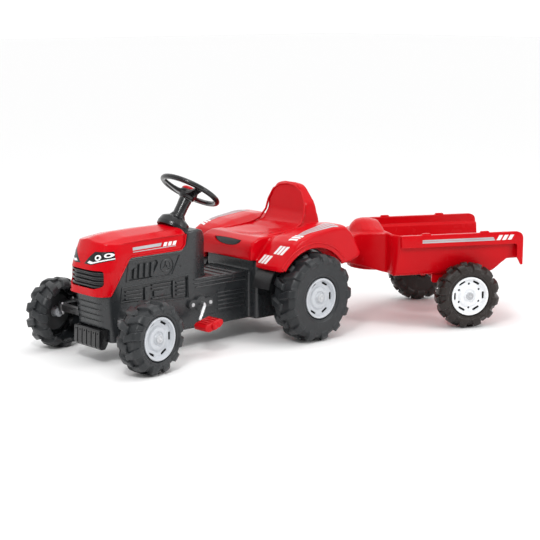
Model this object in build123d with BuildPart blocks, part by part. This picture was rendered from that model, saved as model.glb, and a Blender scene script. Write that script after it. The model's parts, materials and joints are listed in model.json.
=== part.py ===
from build123d import *
from math import atan2, cos, radians, sin
import os

# Ride-on pedal tractor with a two-wheeled trailer.
#
# Millimetres, +X forward, +Y to the driver's left, +Z up.  Everything is drawn in the
# tractor's frame, with its origin on the ground under the rear axle.  Three groups are
# drawn straight and turned to their resting angles when they are placed: the front
# wheels about their kingpins, the steering column about its own axis, and the trailer
# about the hitch pin.  HOME then moves the whole model over the middle of its footprint.

os.makedirs("parts", exist_ok=True)

# ---- driving dimensions -------------------------------------------------------
WALL = 4.0                     # moulded shells
RUN = 0.05                     # radial running clearance of shafts
GAP = 0.3                      # clearance between faces that slide past each other
SIDES = (("left", 1), ("right", -1))

WHEELBASE = 577.0
FRONT_RADIUS, FRONT_WIDTH = 98.0, 80.0
REAR_RADIUS, REAR_WIDTH = 127.5, 90.0
TRAILER_RADIUS, TRAILER_WIDTH = 98.0, 66.0
FRONT_DISC_Y, REAR_DISC_Y, TRAILER_DISC_Y = 245.0, 259.0, 238.0
DISC_RADIUS = 58.0
LUG_HEIGHT = 8.0
AXLE_ROD = 5.0                 # radius of the stub axles, trailer axle and steering rod
DRIVE_ROD = 6.0                # radius of the crank and the driven rear axle

KINGPIN_Y = 193.0
STEER_ARM = 40.0
STEER_REST = 8.7               # front wheels turned to the left at rest
STEER_RATIO = 0.885            # road wheel angle for one degree of steering wheel
WHEEL_REST = STEER_REST / STEER_RATIO
WHEEL_CENTRE = (268.0, 0, 437.0)
COLUMN_TILT = 33.0

BODY_HALF = 80.0
BODY_FLOOR = 60.0
STEP_TOP = 198.0
SEAT_BASE = 232.0
PEDESTAL_HALF = 112.0
PEDESTAL_BACK, PEDESTAL_FRONT = -100.0, 118.0
HOOD_HALF = 81.5
NOSE_X = 624.0                 # front of the lower body, just behind the hood's lip
DASH_X, DASH_DEEP = 326.0, 84.0   # the dash cowl is half an ellipse in plan

CRANK_X, CRANK_Z = 303.0, 130.0
CRANK_THROW = 54.0
CRANK_ANGLE = -54.0            # near pedal forward and down at rest
PEDAL_Y = 158.0

HITCH_X = -130.0
TRAILER_YAW = -27.9            # trailer swung to the left of straight at rest
TRAILER_AXLE_X = -483.0
TUB_FRONT, TUB_BACK = -262.0, -668.0
TUB_TOP = 280.0
RIM_LENGTH = TUB_FRONT - TUB_BACK + 1      # side flanges, from the headboard to the tail
BAND_BOTTOM = 243.0
TUB_FLOOR = 154.0

# ---- frames of the groups that are turned at rest -----------------------------
TRAILER = Location((HITCH_X, 0, 0), (0, 0, TRAILER_YAW))
TILT = radians(COLUMN_TILT)
COLUMN_PLANE = Plane(WHEEL_CENTRE, x_dir=(cos(TILT), 0, sin(TILT)), z_dir=(-sin(TILT), 0, cos(TILT)))
STEERING = Location(COLUMN_PLANE) * Location((0, 0, 0), (0, 0, WHEEL_REST))
STILL = Location((0, 0, 0))
ACROSS = Plane((0, 0, 0), x_dir=(1, 0, 0), z_dir=(0, 1, 0))   # normal along +Y

pieces = []


def keep(part, label, place=STILL):
    """File one finished piece with the location it rests at."""
    pieces.append((part, label, place))


def steered(side):
    """Location of one front wheel group, drawn about its own kingpin."""
    return Location((WHEELBASE, side * KINGPIN_Y, 0), (0, 0, STEER_REST))


def shrink(points, amount):
    """Outline with every side moved inwards by one amount, corners kept sharp."""
    area = sum(a[0] * b[1] - b[0] * a[1] for a, b in zip(points, points[1:] + points[:1]))
    inward = amount if area > 0 else -amount
    moved = []
    for before, here, after in zip(points[-1:] + points[:-1], points, points[1:] + points[:1]):
        first = atan2(here[1] - before[1], here[0] - before[0])
        second = atan2(after[1] - here[1], after[0] - here[0])
        half = (second - first) / 2
        reach = inward / cos(half)
        middle = first + half
        moved.append((here[0] - reach * sin(middle), here[1] + reach * cos(middle)))
    return moved


def prism(points, low, high, plane=Plane.XZ, inset=0.0):
    """Straight solid from a closed outline, between two offsets along the plane's normal."""
    corners = shrink(list(points), inset) if inset else points
    with BuildPart(mode=Mode.PRIVATE) as solid:
        with BuildSketch(plane.offset(low)):
            with BuildLine():
                Polyline(*corners, close=True)
            make_face()
        extrude(amount=high - low)
    return solid.part


# ---- lower body: engine block, dash cowl, step and seat pedestal ---------------
def engine_side(floor):
    """Side outline of the engine block and dash cowl, as (x, z)."""
    return [
        (603, floor), (603, 98), (617, 98), (NOSE_X, 190), (604, 191), (596, 204),
        (583, 228), (566, 270), (548, 289), (368, 289), (352, 300), (343, 340), (300, 341),
        (280, 334), (258, 314), (246, 292), (242, 262),
        (246, STEP_TOP - 10), (246, floor),
    ]


def body_mass(inset, floor):
    """Outside of the lower body, or its hollow when the inset is the wall."""
    half = BODY_HALF - inset
    with BuildPart() as mass:
        add(prism(engine_side(floor), -half, half, inset=inset))
        with BuildSketch(Plane.XY):
            with Locations((DASH_X, 0)):
                nose = Rectangle(NOSE_X - inset - DASH_X, 2 * half, align=(Align.MIN, Align.CENTER))
                fillet(nose.vertices().group_by(Axis.X)[-1], 36 - inset)
                Ellipse(DASH_DEEP - inset, half)
        extrude(amount=400, mode=Mode.INTERSECT)
        with Locations((CRANK_X - 95, 0, floor)):
            Box(260, 2 * half, STEP_TOP - inset - floor, align=(Align.CENTER, Align.CENTER, Align.MIN))
        with Locations(((PEDESTAL_BACK + PEDESTAL_FRONT) / 2, 0, floor)):
            Box(
                PEDESTAL_FRONT - PEDESTAL_BACK - 2 * inset,
                2 * (PEDESTAL_HALF - inset),
                SEAT_BASE - inset - floor,
                align=(Align.CENTER, Align.CENTER, Align.MIN),
            )
    return mass.part


BEAM_X, BEAM_Z, BEAM_WIDE, BEAM_TALL = WHEELBASE, 115.0, 18.0, 18.0
TIE_Z = 130.0
SIDE_SCREWS = ((522, 268), (370, 244))
BEARING_SCREWS = ((-31.5, 0), (31.5, 0))

with BuildPart() as lower_body:
    add(body_mass(0, BODY_FLOOR))
    add(body_mass(WALL, BODY_FLOOR - 30), mode=Mode.SUBTRACT)
    # louvre window and engine window, sunk into both flanks
    louvre = [(545, 225), (538, 250), (504, 271), (450, 271), (471, 226)]
    engine = [(559, 205), (347, 212), (347, 153), (573, 168)]
    for low, high in ((BODY_HALF - 2, BODY_HALF + 1), (-BODY_HALF - 1, -BODY_HALF + 2)):
        add(prism(louvre, low, high), mode=Mode.SUBTRACT)
        add(prism(engine, low, high), mode=Mode.SUBTRACT)
    # slats standing in the two windows
    for side in (1, -1):
        with Locations(*[(x, side * (BODY_HALF - 1.6), 246) for x in (470, 492, 514)]):
            Box(7, 3.2, 40, rotation=(0, 12, 0))
        with Locations(*[(455, side * (BODY_HALF - 1.6), z) for z in (166, 177, 188, 199)]):
            Box(196, 3.2, 4)
    # ribs along the step
    with GridLocations(0, 30, 1, 4):
        with Locations((205, 0, STEP_TOP)):
            Box(150, 8, 5, align=(Align.CENTER, Align.CENTER, Align.MIN))
    # windows for the front beam, the tie bar, the crank, the rear axle and the column
    with Locations((BEAM_X, 0, BEAM_Z)):
        Box(BEAM_WIDE, 2 * BODY_HALF + 20, BEAM_TALL, mode=Mode.SUBTRACT)
    with Locations((WHEELBASE - STEER_ARM, 0, TIE_Z + 3)):
        Box(50, 2 * BODY_HALF + 20, 15, mode=Mode.SUBTRACT)
    with Locations(Location((CRANK_X, 0, CRANK_Z), (90, 0, 0))):
        Cylinder(9, 2 * BODY_HALF + 20, mode=Mode.SUBTRACT)
    with Locations(Location((0, 0, REAR_RADIUS), (90, 0, 0))):
        Cylinder(11, 2 * PEDESTAL_HALF + 20, mode=Mode.SUBTRACT)
    with Locations(Location(COLUMN_PLANE.offset(-150))):
        Cylinder(9, 120, mode=Mode.SUBTRACT)
    # pilot holes of the flank screws and the bearing screws
    with Locations(*[Location((x, 0, z), (90, 0, 0)) for x, z in SIDE_SCREWS]):
        Cylinder(2.5, 2 * BODY_HALF + 20, mode=Mode.SUBTRACT)
    with Locations(*[Location((CRANK_X + x, 0, CRANK_Z + z), (90, 0, 0)) for x, z in BEARING_SCREWS]):
        Cylinder(2.5, 2 * BODY_HALF + 20, mode=Mode.SUBTRACT)
keep(lower_body.part, "lower_body")


# ---- hood, grille and front weight ---------------------------------------------
def hood_mass(inset, drop=0.0):
    """Outside of the hood, or its hollow; drop opens the hollow below and behind."""
    side = [
        (368 - drop, 289 - drop), (548 - drop, 289 - drop), (566 - drop, 270 - drop),
        (583 - drop, 228 - drop), (596 - drop, 204 - drop), (604 - drop, 190 - drop), (636, 190 - drop),
        (642, 256), (637, 300), (615, 338), (585, 354), (445, 358), (340 - drop, 351),
        (343 - drop, 340), (352 - drop, 300),
    ]
    section = [
        (HOOD_HALF, 100), (HOOD_HALF, 324), (76, 336), (58, 347), (30, 355), (0, 358),
        (-30, 355), (-58, 347), (-76, 336), (-HOOD_HALF, 324), (-HOOD_HALF, 100),
    ]
    with BuildPart() as mass:
        add(prism(side, -HOOD_HALF, HOOD_HALF, inset=inset))
        add(prism(section, 280, 680, plane=Plane.YZ, inset=inset), mode=Mode.INTERSECT)
        with BuildSketch(Plane.XY) as plan:
            with Locations((471, 0)):
                nose = Rectangle(342 - 2 * inset, 2 * (HOOD_HALF - inset))
            fillet(nose.vertices().group_by(Axis.X)[-1], 42 - inset)
        extrude(amount=400, mode=Mode.INTERSECT)
    return mass.part


GRILLE_LOW, GRILLE_HIGH, GRILLE_BACK = 206.0, 254.0, 604.0

with BuildPart() as hood:
    add(hood_mass(0))
    add(hood_mass(WALL, drop=25), mode=Mode.SUBTRACT)
    with Locations((GRILLE_BACK, 0, GRILLE_LOW)):
        Box(
            60, 200, GRILLE_HIGH - GRILLE_LOW,
            align=(Align.MIN, Align.CENTER, Align.MIN), mode=Mode.SUBTRACT,
        )
keep(hood.part, "hood")

with BuildPart() as upper_grille:
    add(hood_mass(1.5))
    add(hood_mass(6.5, drop=25), mode=Mode.SUBTRACT)
    with Locations((GRILLE_BACK, 0, GRILLE_LOW)):
        Box(
            60, 200, GRILLE_HIGH - GRILLE_LOW,
            align=(Align.MIN, Align.CENTER, Align.MIN), mode=Mode.INTERSECT,
        )
    for z in (215, 225, 235, 245):
        with Locations((GRILLE_BACK + 8, 0, z)):
            Box(60, 130, 3, align=(Align.MIN, Align.CENTER, Align.CENTER), mode=Mode.SUBTRACT)
keep(upper_grille.part, "upper_grille")

WEIGHT_HALF, WEIGHT_LOW, WEIGHT_HIGH, WEIGHT_FRONT = 59.0, 42.0, 98.0, 633.0
with BuildPart() as front_weight:
    weight_side = [
        (603, WEIGHT_LOW + 14), (612, WEIGHT_LOW), (WEIGHT_FRONT - 6, WEIGHT_LOW),
        (WEIGHT_FRONT, WEIGHT_LOW + 8), (WEIGHT_FRONT - 2, WEIGHT_HIGH), (603, WEIGHT_HIGH),
    ]
    add(prism(weight_side, -WEIGHT_HALF, WEIGHT_HALF))
    with Locations(*[(WEIGHT_FRONT, y, 0) for y in (-42, -21, 0, 21, 42)]):
        Box(8, 3, 170, mode=Mode.SUBTRACT)
    with Locations(*[Location((WEIGHT_FRONT, y, 89), (0, 90, 0)) for y in (-51, -31, -11, 11, 31, 51)]):
        Cylinder(2.2, 20, mode=Mode.SUBTRACT)
keep(front_weight.part, "front_weight")

# ---- steering column, wheel and rod ---------------------------------------------
COLUMN_FOOT = -125.0            # along the column, below the wheel's centre
with BuildPart() as column_sleeve:
    with BuildSketch(Plane.XZ):
        with BuildLine():
            Polyline(
                (AXLE_ROD + 0.6, COLUMN_FOOT), (46, COLUMN_FOOT), (46, -112), (40, -97), (26, -88),
                (22, -88), (22, -83), (19, -83), (19, -78), (16, -76), (18, -30), (AXLE_ROD + 0.6, -30),
                close=True,
            )
        make_face()
    revolve(axis=Axis.Z)
    for angle in range(0, 360, 45):
        with Locations(Location((0, 0, 0), (0, 0, angle))):
            with Locations((19.5, 0, -52)):
                Cylinder(3, 40, mode=Mode.SUBTRACT)
sleeve = column_sleeve.part.moved(Location(COLUMN_PLANE))
with BuildPart() as column_cover:
    add(sleeve)
    add(body_mass(0, BODY_FLOOR), mode=Mode.SUBTRACT)
    add(hood_mass(0), mode=Mode.SUBTRACT)
    with Locations((335, 0, 300)):
        Box(200, 200, 60, mode=Mode.SUBTRACT)
keep(column_cover.part, "column_cover")

RIM_RADIUS, RIM_TUBE = 82.0, 9.0
with BuildPart() as steering_wheel:
    with BuildSketch(Plane.XZ):
        with Locations((RIM_RADIUS, 0)):
            Ellipse(RIM_TUBE, RIM_TUBE - 1)
    revolve(axis=Axis.Z)
    with BuildSketch(Plane.XZ):
        with BuildLine():
            Polyline((AXLE_ROD, -29), (21, -29), (24, -16), (26, -12), (26, -4), (AXLE_ROD, -4), close=True)
        make_face()
    revolve(axis=Axis.Z)
    for angle in (60, 180, 300):
        spoke = [(20, -14), (40, -12), (74, -4), (80, -4), (80, 3), (74, 3), (40, -4), (20, -4)]
        arm = prism(spoke, -9, 9)
        add(arm.rotate(Axis.Z, angle))
keep(steering_wheel.part, "steering_wheel", STEERING)

with BuildPart() as wheel_pad:
    with BuildSketch(Plane.XY.offset(-4)):
        Circle(24)
    extrude(amount=10)
    fillet(wheel_pad.edges().group_by(Axis.Z)[-1], 4)
keep(wheel_pad.part, "wheel_pad", STEERING)

PIN_X = 425.0                   # steering rod's lower pin, in the tie bar's slot


def column_point(z):
    """X of the steering column's centreline at a height."""
    return WHEEL_CENTRE[0] + (WHEEL_CENTRE[2] - z) * sin(TILT) / cos(TILT)


with BuildPart() as steering_rod:
    knee = (column_point(160), 0, 160)
    corners = [(PIN_X, 0, 122), (PIN_X, 0, 147), knee]
    local = [COLUMN_PLANE.to_local_coords(Vector(*point)) for point in corners]
    with BuildLine() as rod_path:
        FilletPolyline(*local, Vector(0, 0, -4.2), radius=9)
    with BuildSketch(Plane(rod_path.line @ 0, z_dir=rod_path.line % 0)):
        Circle(AXLE_ROD)
    sweep()
keep(steering_rod.part, "steering_rod", STEERING)

# ---- front axle -----------------------------------------------------------------
with BuildPart() as front_beam:
    with Locations((BEAM_X, 0, BEAM_Z)):
        Box(BEAM_WIDE, 2 * KINGPIN_Y - 10, BEAM_TALL)
    with Locations(*[(BEAM_X, side * KINGPIN_Y, BEAM_Z) for _, side in SIDES]):
        Cylinder(12, BEAM_TALL)
        Cylinder(AXLE_ROD + RUN, BEAM_TALL, mode=Mode.SUBTRACT)
keep(front_beam.part, "front_beam")

STUB_END = FRONT_DISC_Y - KINGPIN_Y - 6
for name, side in SIDES:
    with BuildPart() as knuckle:
        with Locations((0, 0, FRONT_RADIUS)):
            Sphere(AXLE_ROD)
        with Locations((0, 0, FRONT_RADIUS)):
            Cylinder(AXLE_ROD, TIE_Z - 1 - FRONT_RADIUS, align=(Align.CENTER, Align.CENTER, Align.MIN))
        with Locations((0, 0, BEAM_Z - BEAM_TALL / 2 - GAP - 2)):
            Cylinder(9, 2, align=(Align.CENTER, Align.CENTER, Align.MIN))
        with BuildSketch(ACROSS) as stub_round:
            with Locations((0, -FRONT_RADIUS)):
                Circle(AXLE_ROD)
        extrude(amount=side * STUB_END)
        with BuildSketch(Plane.XY.offset(BEAM_Z + BEAM_TALL / 2 + GAP)) as arm_outline:
            with Locations((-STEER_ARM / 2, 0)):
                SlotCenterToCenter(STEER_ARM, 16)
        extrude(amount=TIE_Z - 1 - BEAM_Z - BEAM_TALL / 2 - GAP)
        with Locations((-STEER_ARM, 0, TIE_Z - 1)):
            Cylinder(3, 9, align=(Align.CENTER, Align.CENTER, Align.MIN))
    keep(knuckle.part, f"knuckle_{name}", steered(side))

tie_shift = (STEER_ARM * (1 - cos(radians(STEER_REST))), -STEER_ARM * sin(radians(STEER_REST)), 0)
with BuildPart() as tie_bar:
    with BuildSketch(Plane.XY.offset(TIE_Z)):
        with Locations((WHEELBASE - STEER_ARM, 0)):
            SlotCenterToCenter(2 * KINGPIN_Y, 16, rotation=90)
        with Locations((WHEELBASE - STEER_ARM - 60, 0)):
            Rectangle(130, 26)
        with Locations((WHEELBASE - STEER_ARM, KINGPIN_Y)):
            Circle(3 + RUN, mode=Mode.SUBTRACT)
        with Locations((WHEELBASE - STEER_ARM, -KINGPIN_Y)):
            Circle(3.4, mode=Mode.SUBTRACT)
        with Locations((PIN_X + 2.5, 0)):
            SlotOverall(26, 14, mode=Mode.SUBTRACT)
    extrude(amount=4)
keep(tie_bar.part, "tie_bar", Location(tie_shift))


# ---- wheels -----------------------------------------------------------------------
def tyre(radius, width, lugs, opening):
    """Blow-moulded tyre about the Y axis, outer face towards +Y, with chevron lugs."""
    half = width / 2
    tread = radius - LUG_HEIGHT
    skin = [
        (54, half - 9), (61, half - 9), (66, half - 1), (tread - 12, half), (tread - 2, half - 8),
        (tread, half - 18), (tread, 18 - half), (tread - 2, 8 - half), (tread - 12, -half),
        (opening, 1 - half), (opening, 5 - half), (tread - 13, 4 - half), (tread - 5.5, 10 - half),
        (tread - WALL, 18 - half), (tread - WALL, half - 18), (tread - 5.5, half - 10),
        (tread - 13, half - 5), (68, half - 6), (63, half - 13), (54, half - 13),
    ]
    with BuildPart() as ring:
        with BuildSketch(Plane.XY):
            with BuildLine():
                Polyline(*skin, close=True)
            make_face()
        revolve(axis=Axis.Y)
        for row in (1, -1):
            bar = [(-7, 0), (7, 0), (21, row * (half - 7)), (7, row * (half - 7))]
            lug = prism(bar, tread - 3, radius - 2, plane=Plane.XY)
            for turn in range(lugs):
                add(lug.rotate(Axis.Y, (turn + row / 4) * 360 / lugs))
    return ring.part


def wheel_disc(width, hub_end, bore):
    """Pressed disc with a raised rim, six slots and a hub running inwards to hub_end."""
    half = width / 2
    profile = [
        (bore, hub_end), (14, hub_end), (14, half - 21), (49, half - 21), (53.5, half - 9),
        (DISC_RADIUS, half - 9), (DISC_RADIUS, half - 5), (51, half - 5), (46.5, half - 17),
        (18, half - 17), (15, half - 9), (bore, half - 9),
    ]
    with BuildPart() as disc:
        with BuildSketch(Plane.XY):
            with BuildLine():
                Polyline(*profile, close=True)
            make_face()
        revolve(axis=Axis.Y)
        with BuildSketch(ACROSS.offset(half - 26)):
            with PolarLocations(37, 6):
                SlotOverall(17, 6, rotation=90)
        extrude(amount=14, mode=Mode.SUBTRACT)
    return disc.part


def hub_cap(width):
    """Snap cap on the outer end of the hub."""
    half = width / 2
    dome = [(0, half - 9), (12, half - 9), (12, half - 6), (9, half - 3.4), (0, half - 3)]
    with BuildPart() as cap:
        with BuildSketch(Plane.XY):
            with BuildLine():
                Polyline(*dome, close=True)
            make_face()
        revolve(axis=Axis.Y)
    return cap.part


def wheel_place(x, y, z, side):
    """Location of a wheel, turned to face outwards on its own side."""
    return Location((x, y, z), (0, 0, 0 if side > 0 else 180))


front_tyre = tyre(FRONT_RADIUS, FRONT_WIDTH, 12, 76)
rear_tyre = tyre(REAR_RADIUS, REAR_WIDTH, 13, 76)
trailer_tyre = tyre(TRAILER_RADIUS, TRAILER_WIDTH, 12, 70)
front_disc = wheel_disc(FRONT_WIDTH, -4, AXLE_ROD + RUN)
trailer_disc = wheel_disc(TRAILER_WIDTH, -TRAILER_WIDTH / 2, AXLE_ROD + RUN)
free_disc = wheel_disc(REAR_WIDTH, -REAR_WIDTH / 2, DRIVE_ROD + RUN)
driven_disc = wheel_disc(REAR_WIDTH, -REAR_WIDTH / 2, DRIVE_ROD)

for name, side in SIDES:
    y = FRONT_DISC_Y - FRONT_WIDTH / 2 + 5 - KINGPIN_Y
    place = steered(side) * wheel_place(0, side * y, FRONT_RADIUS, side)
    keep(front_tyre, f"front_tyre_{name}", place)
    keep(front_disc, f"front_disc_{name}", place)
    keep(hub_cap(FRONT_WIDTH), f"front_cap_{name}", place)

    y = REAR_DISC_Y - REAR_WIDTH / 2 + 5
    place = wheel_place(0, side * y, REAR_RADIUS, side)
    keep(rear_tyre, f"rear_tyre_{name}", place)
    keep(free_disc if side > 0 else driven_disc, f"rear_disc_{name}", place)
    keep(hub_cap(REAR_WIDTH), f"rear_cap_{name}", place)

    y = TRAILER_DISC_Y - TRAILER_WIDTH / 2 + 5
    place = TRAILER * wheel_place(TRAILER_AXLE_X, side * y, TRAILER_RADIUS, side)
    keep(trailer_tyre, f"trailer_tyre_{name}", place)
    keep(trailer_disc, f"trailer_disc_{name}", place)
    keep(hub_cap(TRAILER_WIDTH), f"trailer_cap_{name}", place)

# ---- chain drive --------------------------------------------------------------------
REAR_SPROCKET, FRONT_SPROCKET = 30.0, 38.0
AXLE_END = REAR_DISC_Y - 6
with BuildPart() as rear_axle:
    with Locations(Location((0, 0, REAR_RADIUS), (90, 0, 0))):
        Cylinder(DRIVE_ROD, 2 * AXLE_END)
keep(rear_axle.part, "rear_axle")

with BuildPart() as axle_bushes:
    for _, side in SIDES:
        with Locations(Location((0, side * (PEDESTAL_HALF - 3), REAR_RADIUS), (90, 0, 0))):
            Cylinder(11, 14)
        with Locations(Location((0, side * (PEDESTAL_HALF + 2), REAR_RADIUS), (90, 0, 0))):
            Cylinder(16, 4)
    with Locations(Location((0, 0, REAR_RADIUS), (90, 0, 0))):
        Cylinder(DRIVE_ROD + RUN, 300, mode=Mode.SUBTRACT)
keep(axle_bushes.part, "axle_bushes")


def sprocket(pitch, x, z):
    """Sprocket plate with lightening holes and a hub, pressed on its shaft."""
    with BuildPart() as plate:
        with BuildSketch(ACROSS.offset(-2)):
            with Locations((x, -z)):
                Circle(pitch - 4)
                Circle(DRIVE_ROD, mode=Mode.SUBTRACT)
                with PolarLocations(pitch * 0.58, 5):
                    Circle(pitch * 0.13, mode=Mode.SUBTRACT)
        extrude(amount=4)
        with BuildSketch(ACROSS.offset(2)):
            with Locations((x, -z)):
                Circle(12)
                Circle(DRIVE_ROD, mode=Mode.SUBTRACT)
        extrude(amount=8)
    return plate.part


keep(sprocket(REAR_SPROCKET, 0, REAR_RADIUS), "rear_sprocket")
keep(sprocket(FRONT_SPROCKET, CRANK_X, CRANK_Z), "front_sprocket")


def chain_loop(reach):
    """Outline round both sprockets at one distance from their pitch circles."""
    with BuildPart() as loop:
        with BuildSketch(ACROSS.offset(-2.5)):
            with Locations((0, -REAR_RADIUS)):
                Circle(REAR_SPROCKET + reach)
            with Locations((CRANK_X, -CRANK_Z)):
                Circle(FRONT_SPROCKET + reach)
            make_hull()
        extrude(amount=5)
    return loop.part


with BuildPart() as drive_chain:
    add(chain_loop(3.5))
    add(chain_loop(-3.5), mode=Mode.SUBTRACT)
keep(drive_chain.part, "drive_chain")

# ---- crank, bearings and pedals ---------------------------------------------------------
throw_x = CRANK_THROW * cos(radians(CRANK_ANGLE))
throw_z = CRANK_THROW * sin(radians(CRANK_ANGLE))
SHAFT_END, SPINDLE_START, SPINDLE_END = 104.0, 116.0, 188.0
with BuildPart() as pedal_crank:
    with BuildLine() as crank_path:
        FilletPolyline(
            (CRANK_X - throw_x, -SPINDLE_END, CRANK_Z - throw_z),
            (CRANK_X - throw_x, -SPINDLE_START, CRANK_Z - throw_z),
            (CRANK_X, -SHAFT_END, CRANK_Z),
            (CRANK_X, SHAFT_END, CRANK_Z),
            (CRANK_X + throw_x, SPINDLE_START, CRANK_Z + throw_z),
            (CRANK_X + throw_x, SPINDLE_END, CRANK_Z + throw_z),
            radius=9,
        )
    with BuildSketch(Plane(crank_path.line @ 0, z_dir=crank_path.line % 0)):
        Circle(DRIVE_ROD)
    sweep()
keep(pedal_crank.part, "pedal_crank")

for name, side in SIDES:
    with BuildPart() as bearing:
        with BuildSketch(ACROSS.offset(side * BODY_HALF)):
            with Locations((CRANK_X, -CRANK_Z)):
                Circle(20)
                SlotCenterToCenter(63, 24)
                Circle(DRIVE_ROD + RUN, mode=Mode.SUBTRACT)
            with Locations(*[(CRANK_X + x, -CRANK_Z - z) for x, z in BEARING_SCREWS]):
                Circle(2.5, mode=Mode.SUBTRACT)
        extrude(amount=side * 9)
    keep(bearing.part, f"crank_bearing_{name}")

with BuildPart() as bearing_screws:
    for _, side in SIDES:
        for x, z in BEARING_SCREWS:
            with Locations(Location((CRANK_X + x, side * (BODY_HALF + 1), CRANK_Z + z), (90, 0, 0))):
                Cylinder(2.5, 16)
            with Locations(Location((CRANK_X + x, side * (BODY_HALF + 10.5), CRANK_Z + z), (90, 0, 0))):
                Cylinder(5.5, 3)
keep(bearing_screws.part, "bearing_screws")

with BuildPart() as side_screws:
    for _, side in SIDES:
        for x, z in SIDE_SCREWS:
            with Locations(Location((x, side * (BODY_HALF - 5), z), (90, 0, 0))):
                Cylinder(2.5, 10)
keep(side_screws.part, "side_screws")

PEDAL_LONG, PEDAL_WIDE, PEDAL_TALL = 66.0, 52.0, 24.0
for name, side in SIDES:
    with BuildPart() as pedal:
        with Locations((0, side * PEDAL_Y, 0)):
            Box(PEDAL_LONG, PEDAL_WIDE, PEDAL_TALL)
        fillet(pedal.edges().filter_by(Axis.Y), 7)
        for z in (-PEDAL_TALL / 2, PEDAL_TALL / 2):
            with Locations(*[(x, side * PEDAL_Y, z) for x in range(-22, 23, 11)]):
                Box(4, PEDAL_WIDE + 2, 5, mode=Mode.SUBTRACT)
        with Locations(Location((0, side * PEDAL_Y, 0), (90, 0, 0))):
            Cylinder(DRIVE_ROD + RUN, PEDAL_WIDE + 2, mode=Mode.SUBTRACT)
    keep(
        pedal.part, f"pedal_{name}",
        Location((CRANK_X + side * throw_x, 0, CRANK_Z + side * throw_z), (0, 14 * side, 0)),
    )

# ---- seat with fenders, vent and mudguards ------------------------------------------------
FENDER_OUT = 230.0
ARCH_RADIUS = 140.0


def seat_envelope(inset, base):
    """Front view of the seat: full width below the pan, narrowing up the back rest."""
    back = [
        (-88, base), (-88, 330), (-76, 390), (-50, 424), (0, 434),
        (50, 424), (76, 390), (88, 330), (88, base),
    ]
    with BuildPart() as envelope:
        with Locations((0, 0, base)):
            Box(400, 300, 306 - inset - base, align=(Align.CENTER, Align.CENTER, Align.MIN))
        add(prism(back, -200, 0, plane=Plane.YZ, inset=inset))
    return envelope.part


def seat_mass(inset, base):
    """Outside of the seat and its back rest, or its hollow."""
    side = [
        (PEDESTAL_FRONT + 22, base), (PEDESTAL_FRONT + 18, 280), (110, 297), (-55, 305), (-92, 314),
        (-102, 340), (-107, 424), (-118, 432), (-134, 424), (-158, 310), (-165, base),
    ]
    with BuildPart() as mass:
        add(prism(side, -PEDESTAL_HALF + inset, PEDESTAL_HALF - inset, inset=inset))
        add(seat_envelope(inset, base), mode=Mode.INTERSECT)
    return mass.part


fender_side = [
    (127, 214), (127, 224), (73, 290), (52, 303), (0, 314), (-85, 325), (-132, 324),
    (-160, 304), (-200, 238), (-194, 222), (-150, 210), (-100, 205), (100, 205),
]
with BuildPart() as crescent:
    with BuildSketch(Plane.YZ.offset(80)):
        with Locations((0, 366)):
            Circle(100)
        with Locations((0, 275)):
            Rectangle(130, 22, mode=Mode.INTERSECT)
    extrude(amount=80)

with BuildPart() as seat_fender:
    add(seat_mass(0, SEAT_BASE))
    for _, side in SIDES:
        low, high = sorted((-side * (PEDESTAL_HALF - 4), -side * FENDER_OUT))
        add(prism(fender_side, low, high))
    Box(700, 2 * PEDESTAL_HALF, 2 * SEAT_BASE, mode=Mode.SUBTRACT)
    with Locations(Location((0, 0, REAR_RADIUS), (90, 0, 0))):
        Cylinder(ARCH_RADIUS, 600, mode=Mode.SUBTRACT)
    for _, side in SIDES:
        low, high = sorted((-side * PEDESTAL_HALF, -side * (FENDER_OUT - WALL)))
        hollow = [(x, z if z > 230 else z - 30) for x, z in fender_side]
        add(prism(hollow, low, high, inset=WALL), mode=Mode.SUBTRACT)
    add(seat_mass(WALL, SEAT_BASE - 30), mode=Mode.SUBTRACT)
    add(crescent.part, mode=Mode.SUBTRACT)
keep(seat_fender.part, "seat_fender")

with BuildPart() as seat_vent:
    add(seat_mass(0, SEAT_BASE))
    add(seat_mass(WALL, SEAT_BASE - 30), mode=Mode.SUBTRACT)
    add(crescent.part, mode=Mode.INTERSECT)
keep(seat_vent.part, "seat_vent")

GUARD_RADIUS, GUARD_OUT = 137.0, 180.0
for name, side in SIDES:
    with BuildPart() as guard:
        with BuildSketch(ACROSS.offset(side * PEDESTAL_HALF)):
            with Locations((0, -REAR_RADIUS)):
                Circle(GUARD_RADIUS)
                Circle(GUARD_RADIUS - WALL, mode=Mode.SUBTRACT)
            with Locations((0, 100 - REAR_RADIUS)):
                Rectangle(400, 260, mode=Mode.SUBTRACT)
        extrude(amount=side * (GUARD_OUT - PEDESTAL_HALF))
    keep(guard.part, f"mudguard_{name}")

# ---- hitch ----------------------------------------------------------------------------------
HITCH_Z = 176.0
NECK_LOW, NECK_HIGH = 186.0, 214.0
with BuildPart() as hitch_bracket:
    with Locations((PEDESTAL_BACK, 0, HITCH_Z)):
        Box(4, 60, 44, align=(Align.MAX, Align.CENTER, Align.CENTER))
    with BuildSketch(Plane.XY.offset(HITCH_Z)):
        with Locations(((PEDESTAL_BACK - 4 + HITCH_X) / 2, 0)):
            Rectangle(PEDESTAL_BACK - 4 - HITCH_X, 40)
        with Locations((HITCH_X, 0)):
            Circle(20)
            Circle(AXLE_ROD, mode=Mode.SUBTRACT)
    extrude(amount=6)
keep(hitch_bracket.part, "hitch_bracket")

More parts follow.
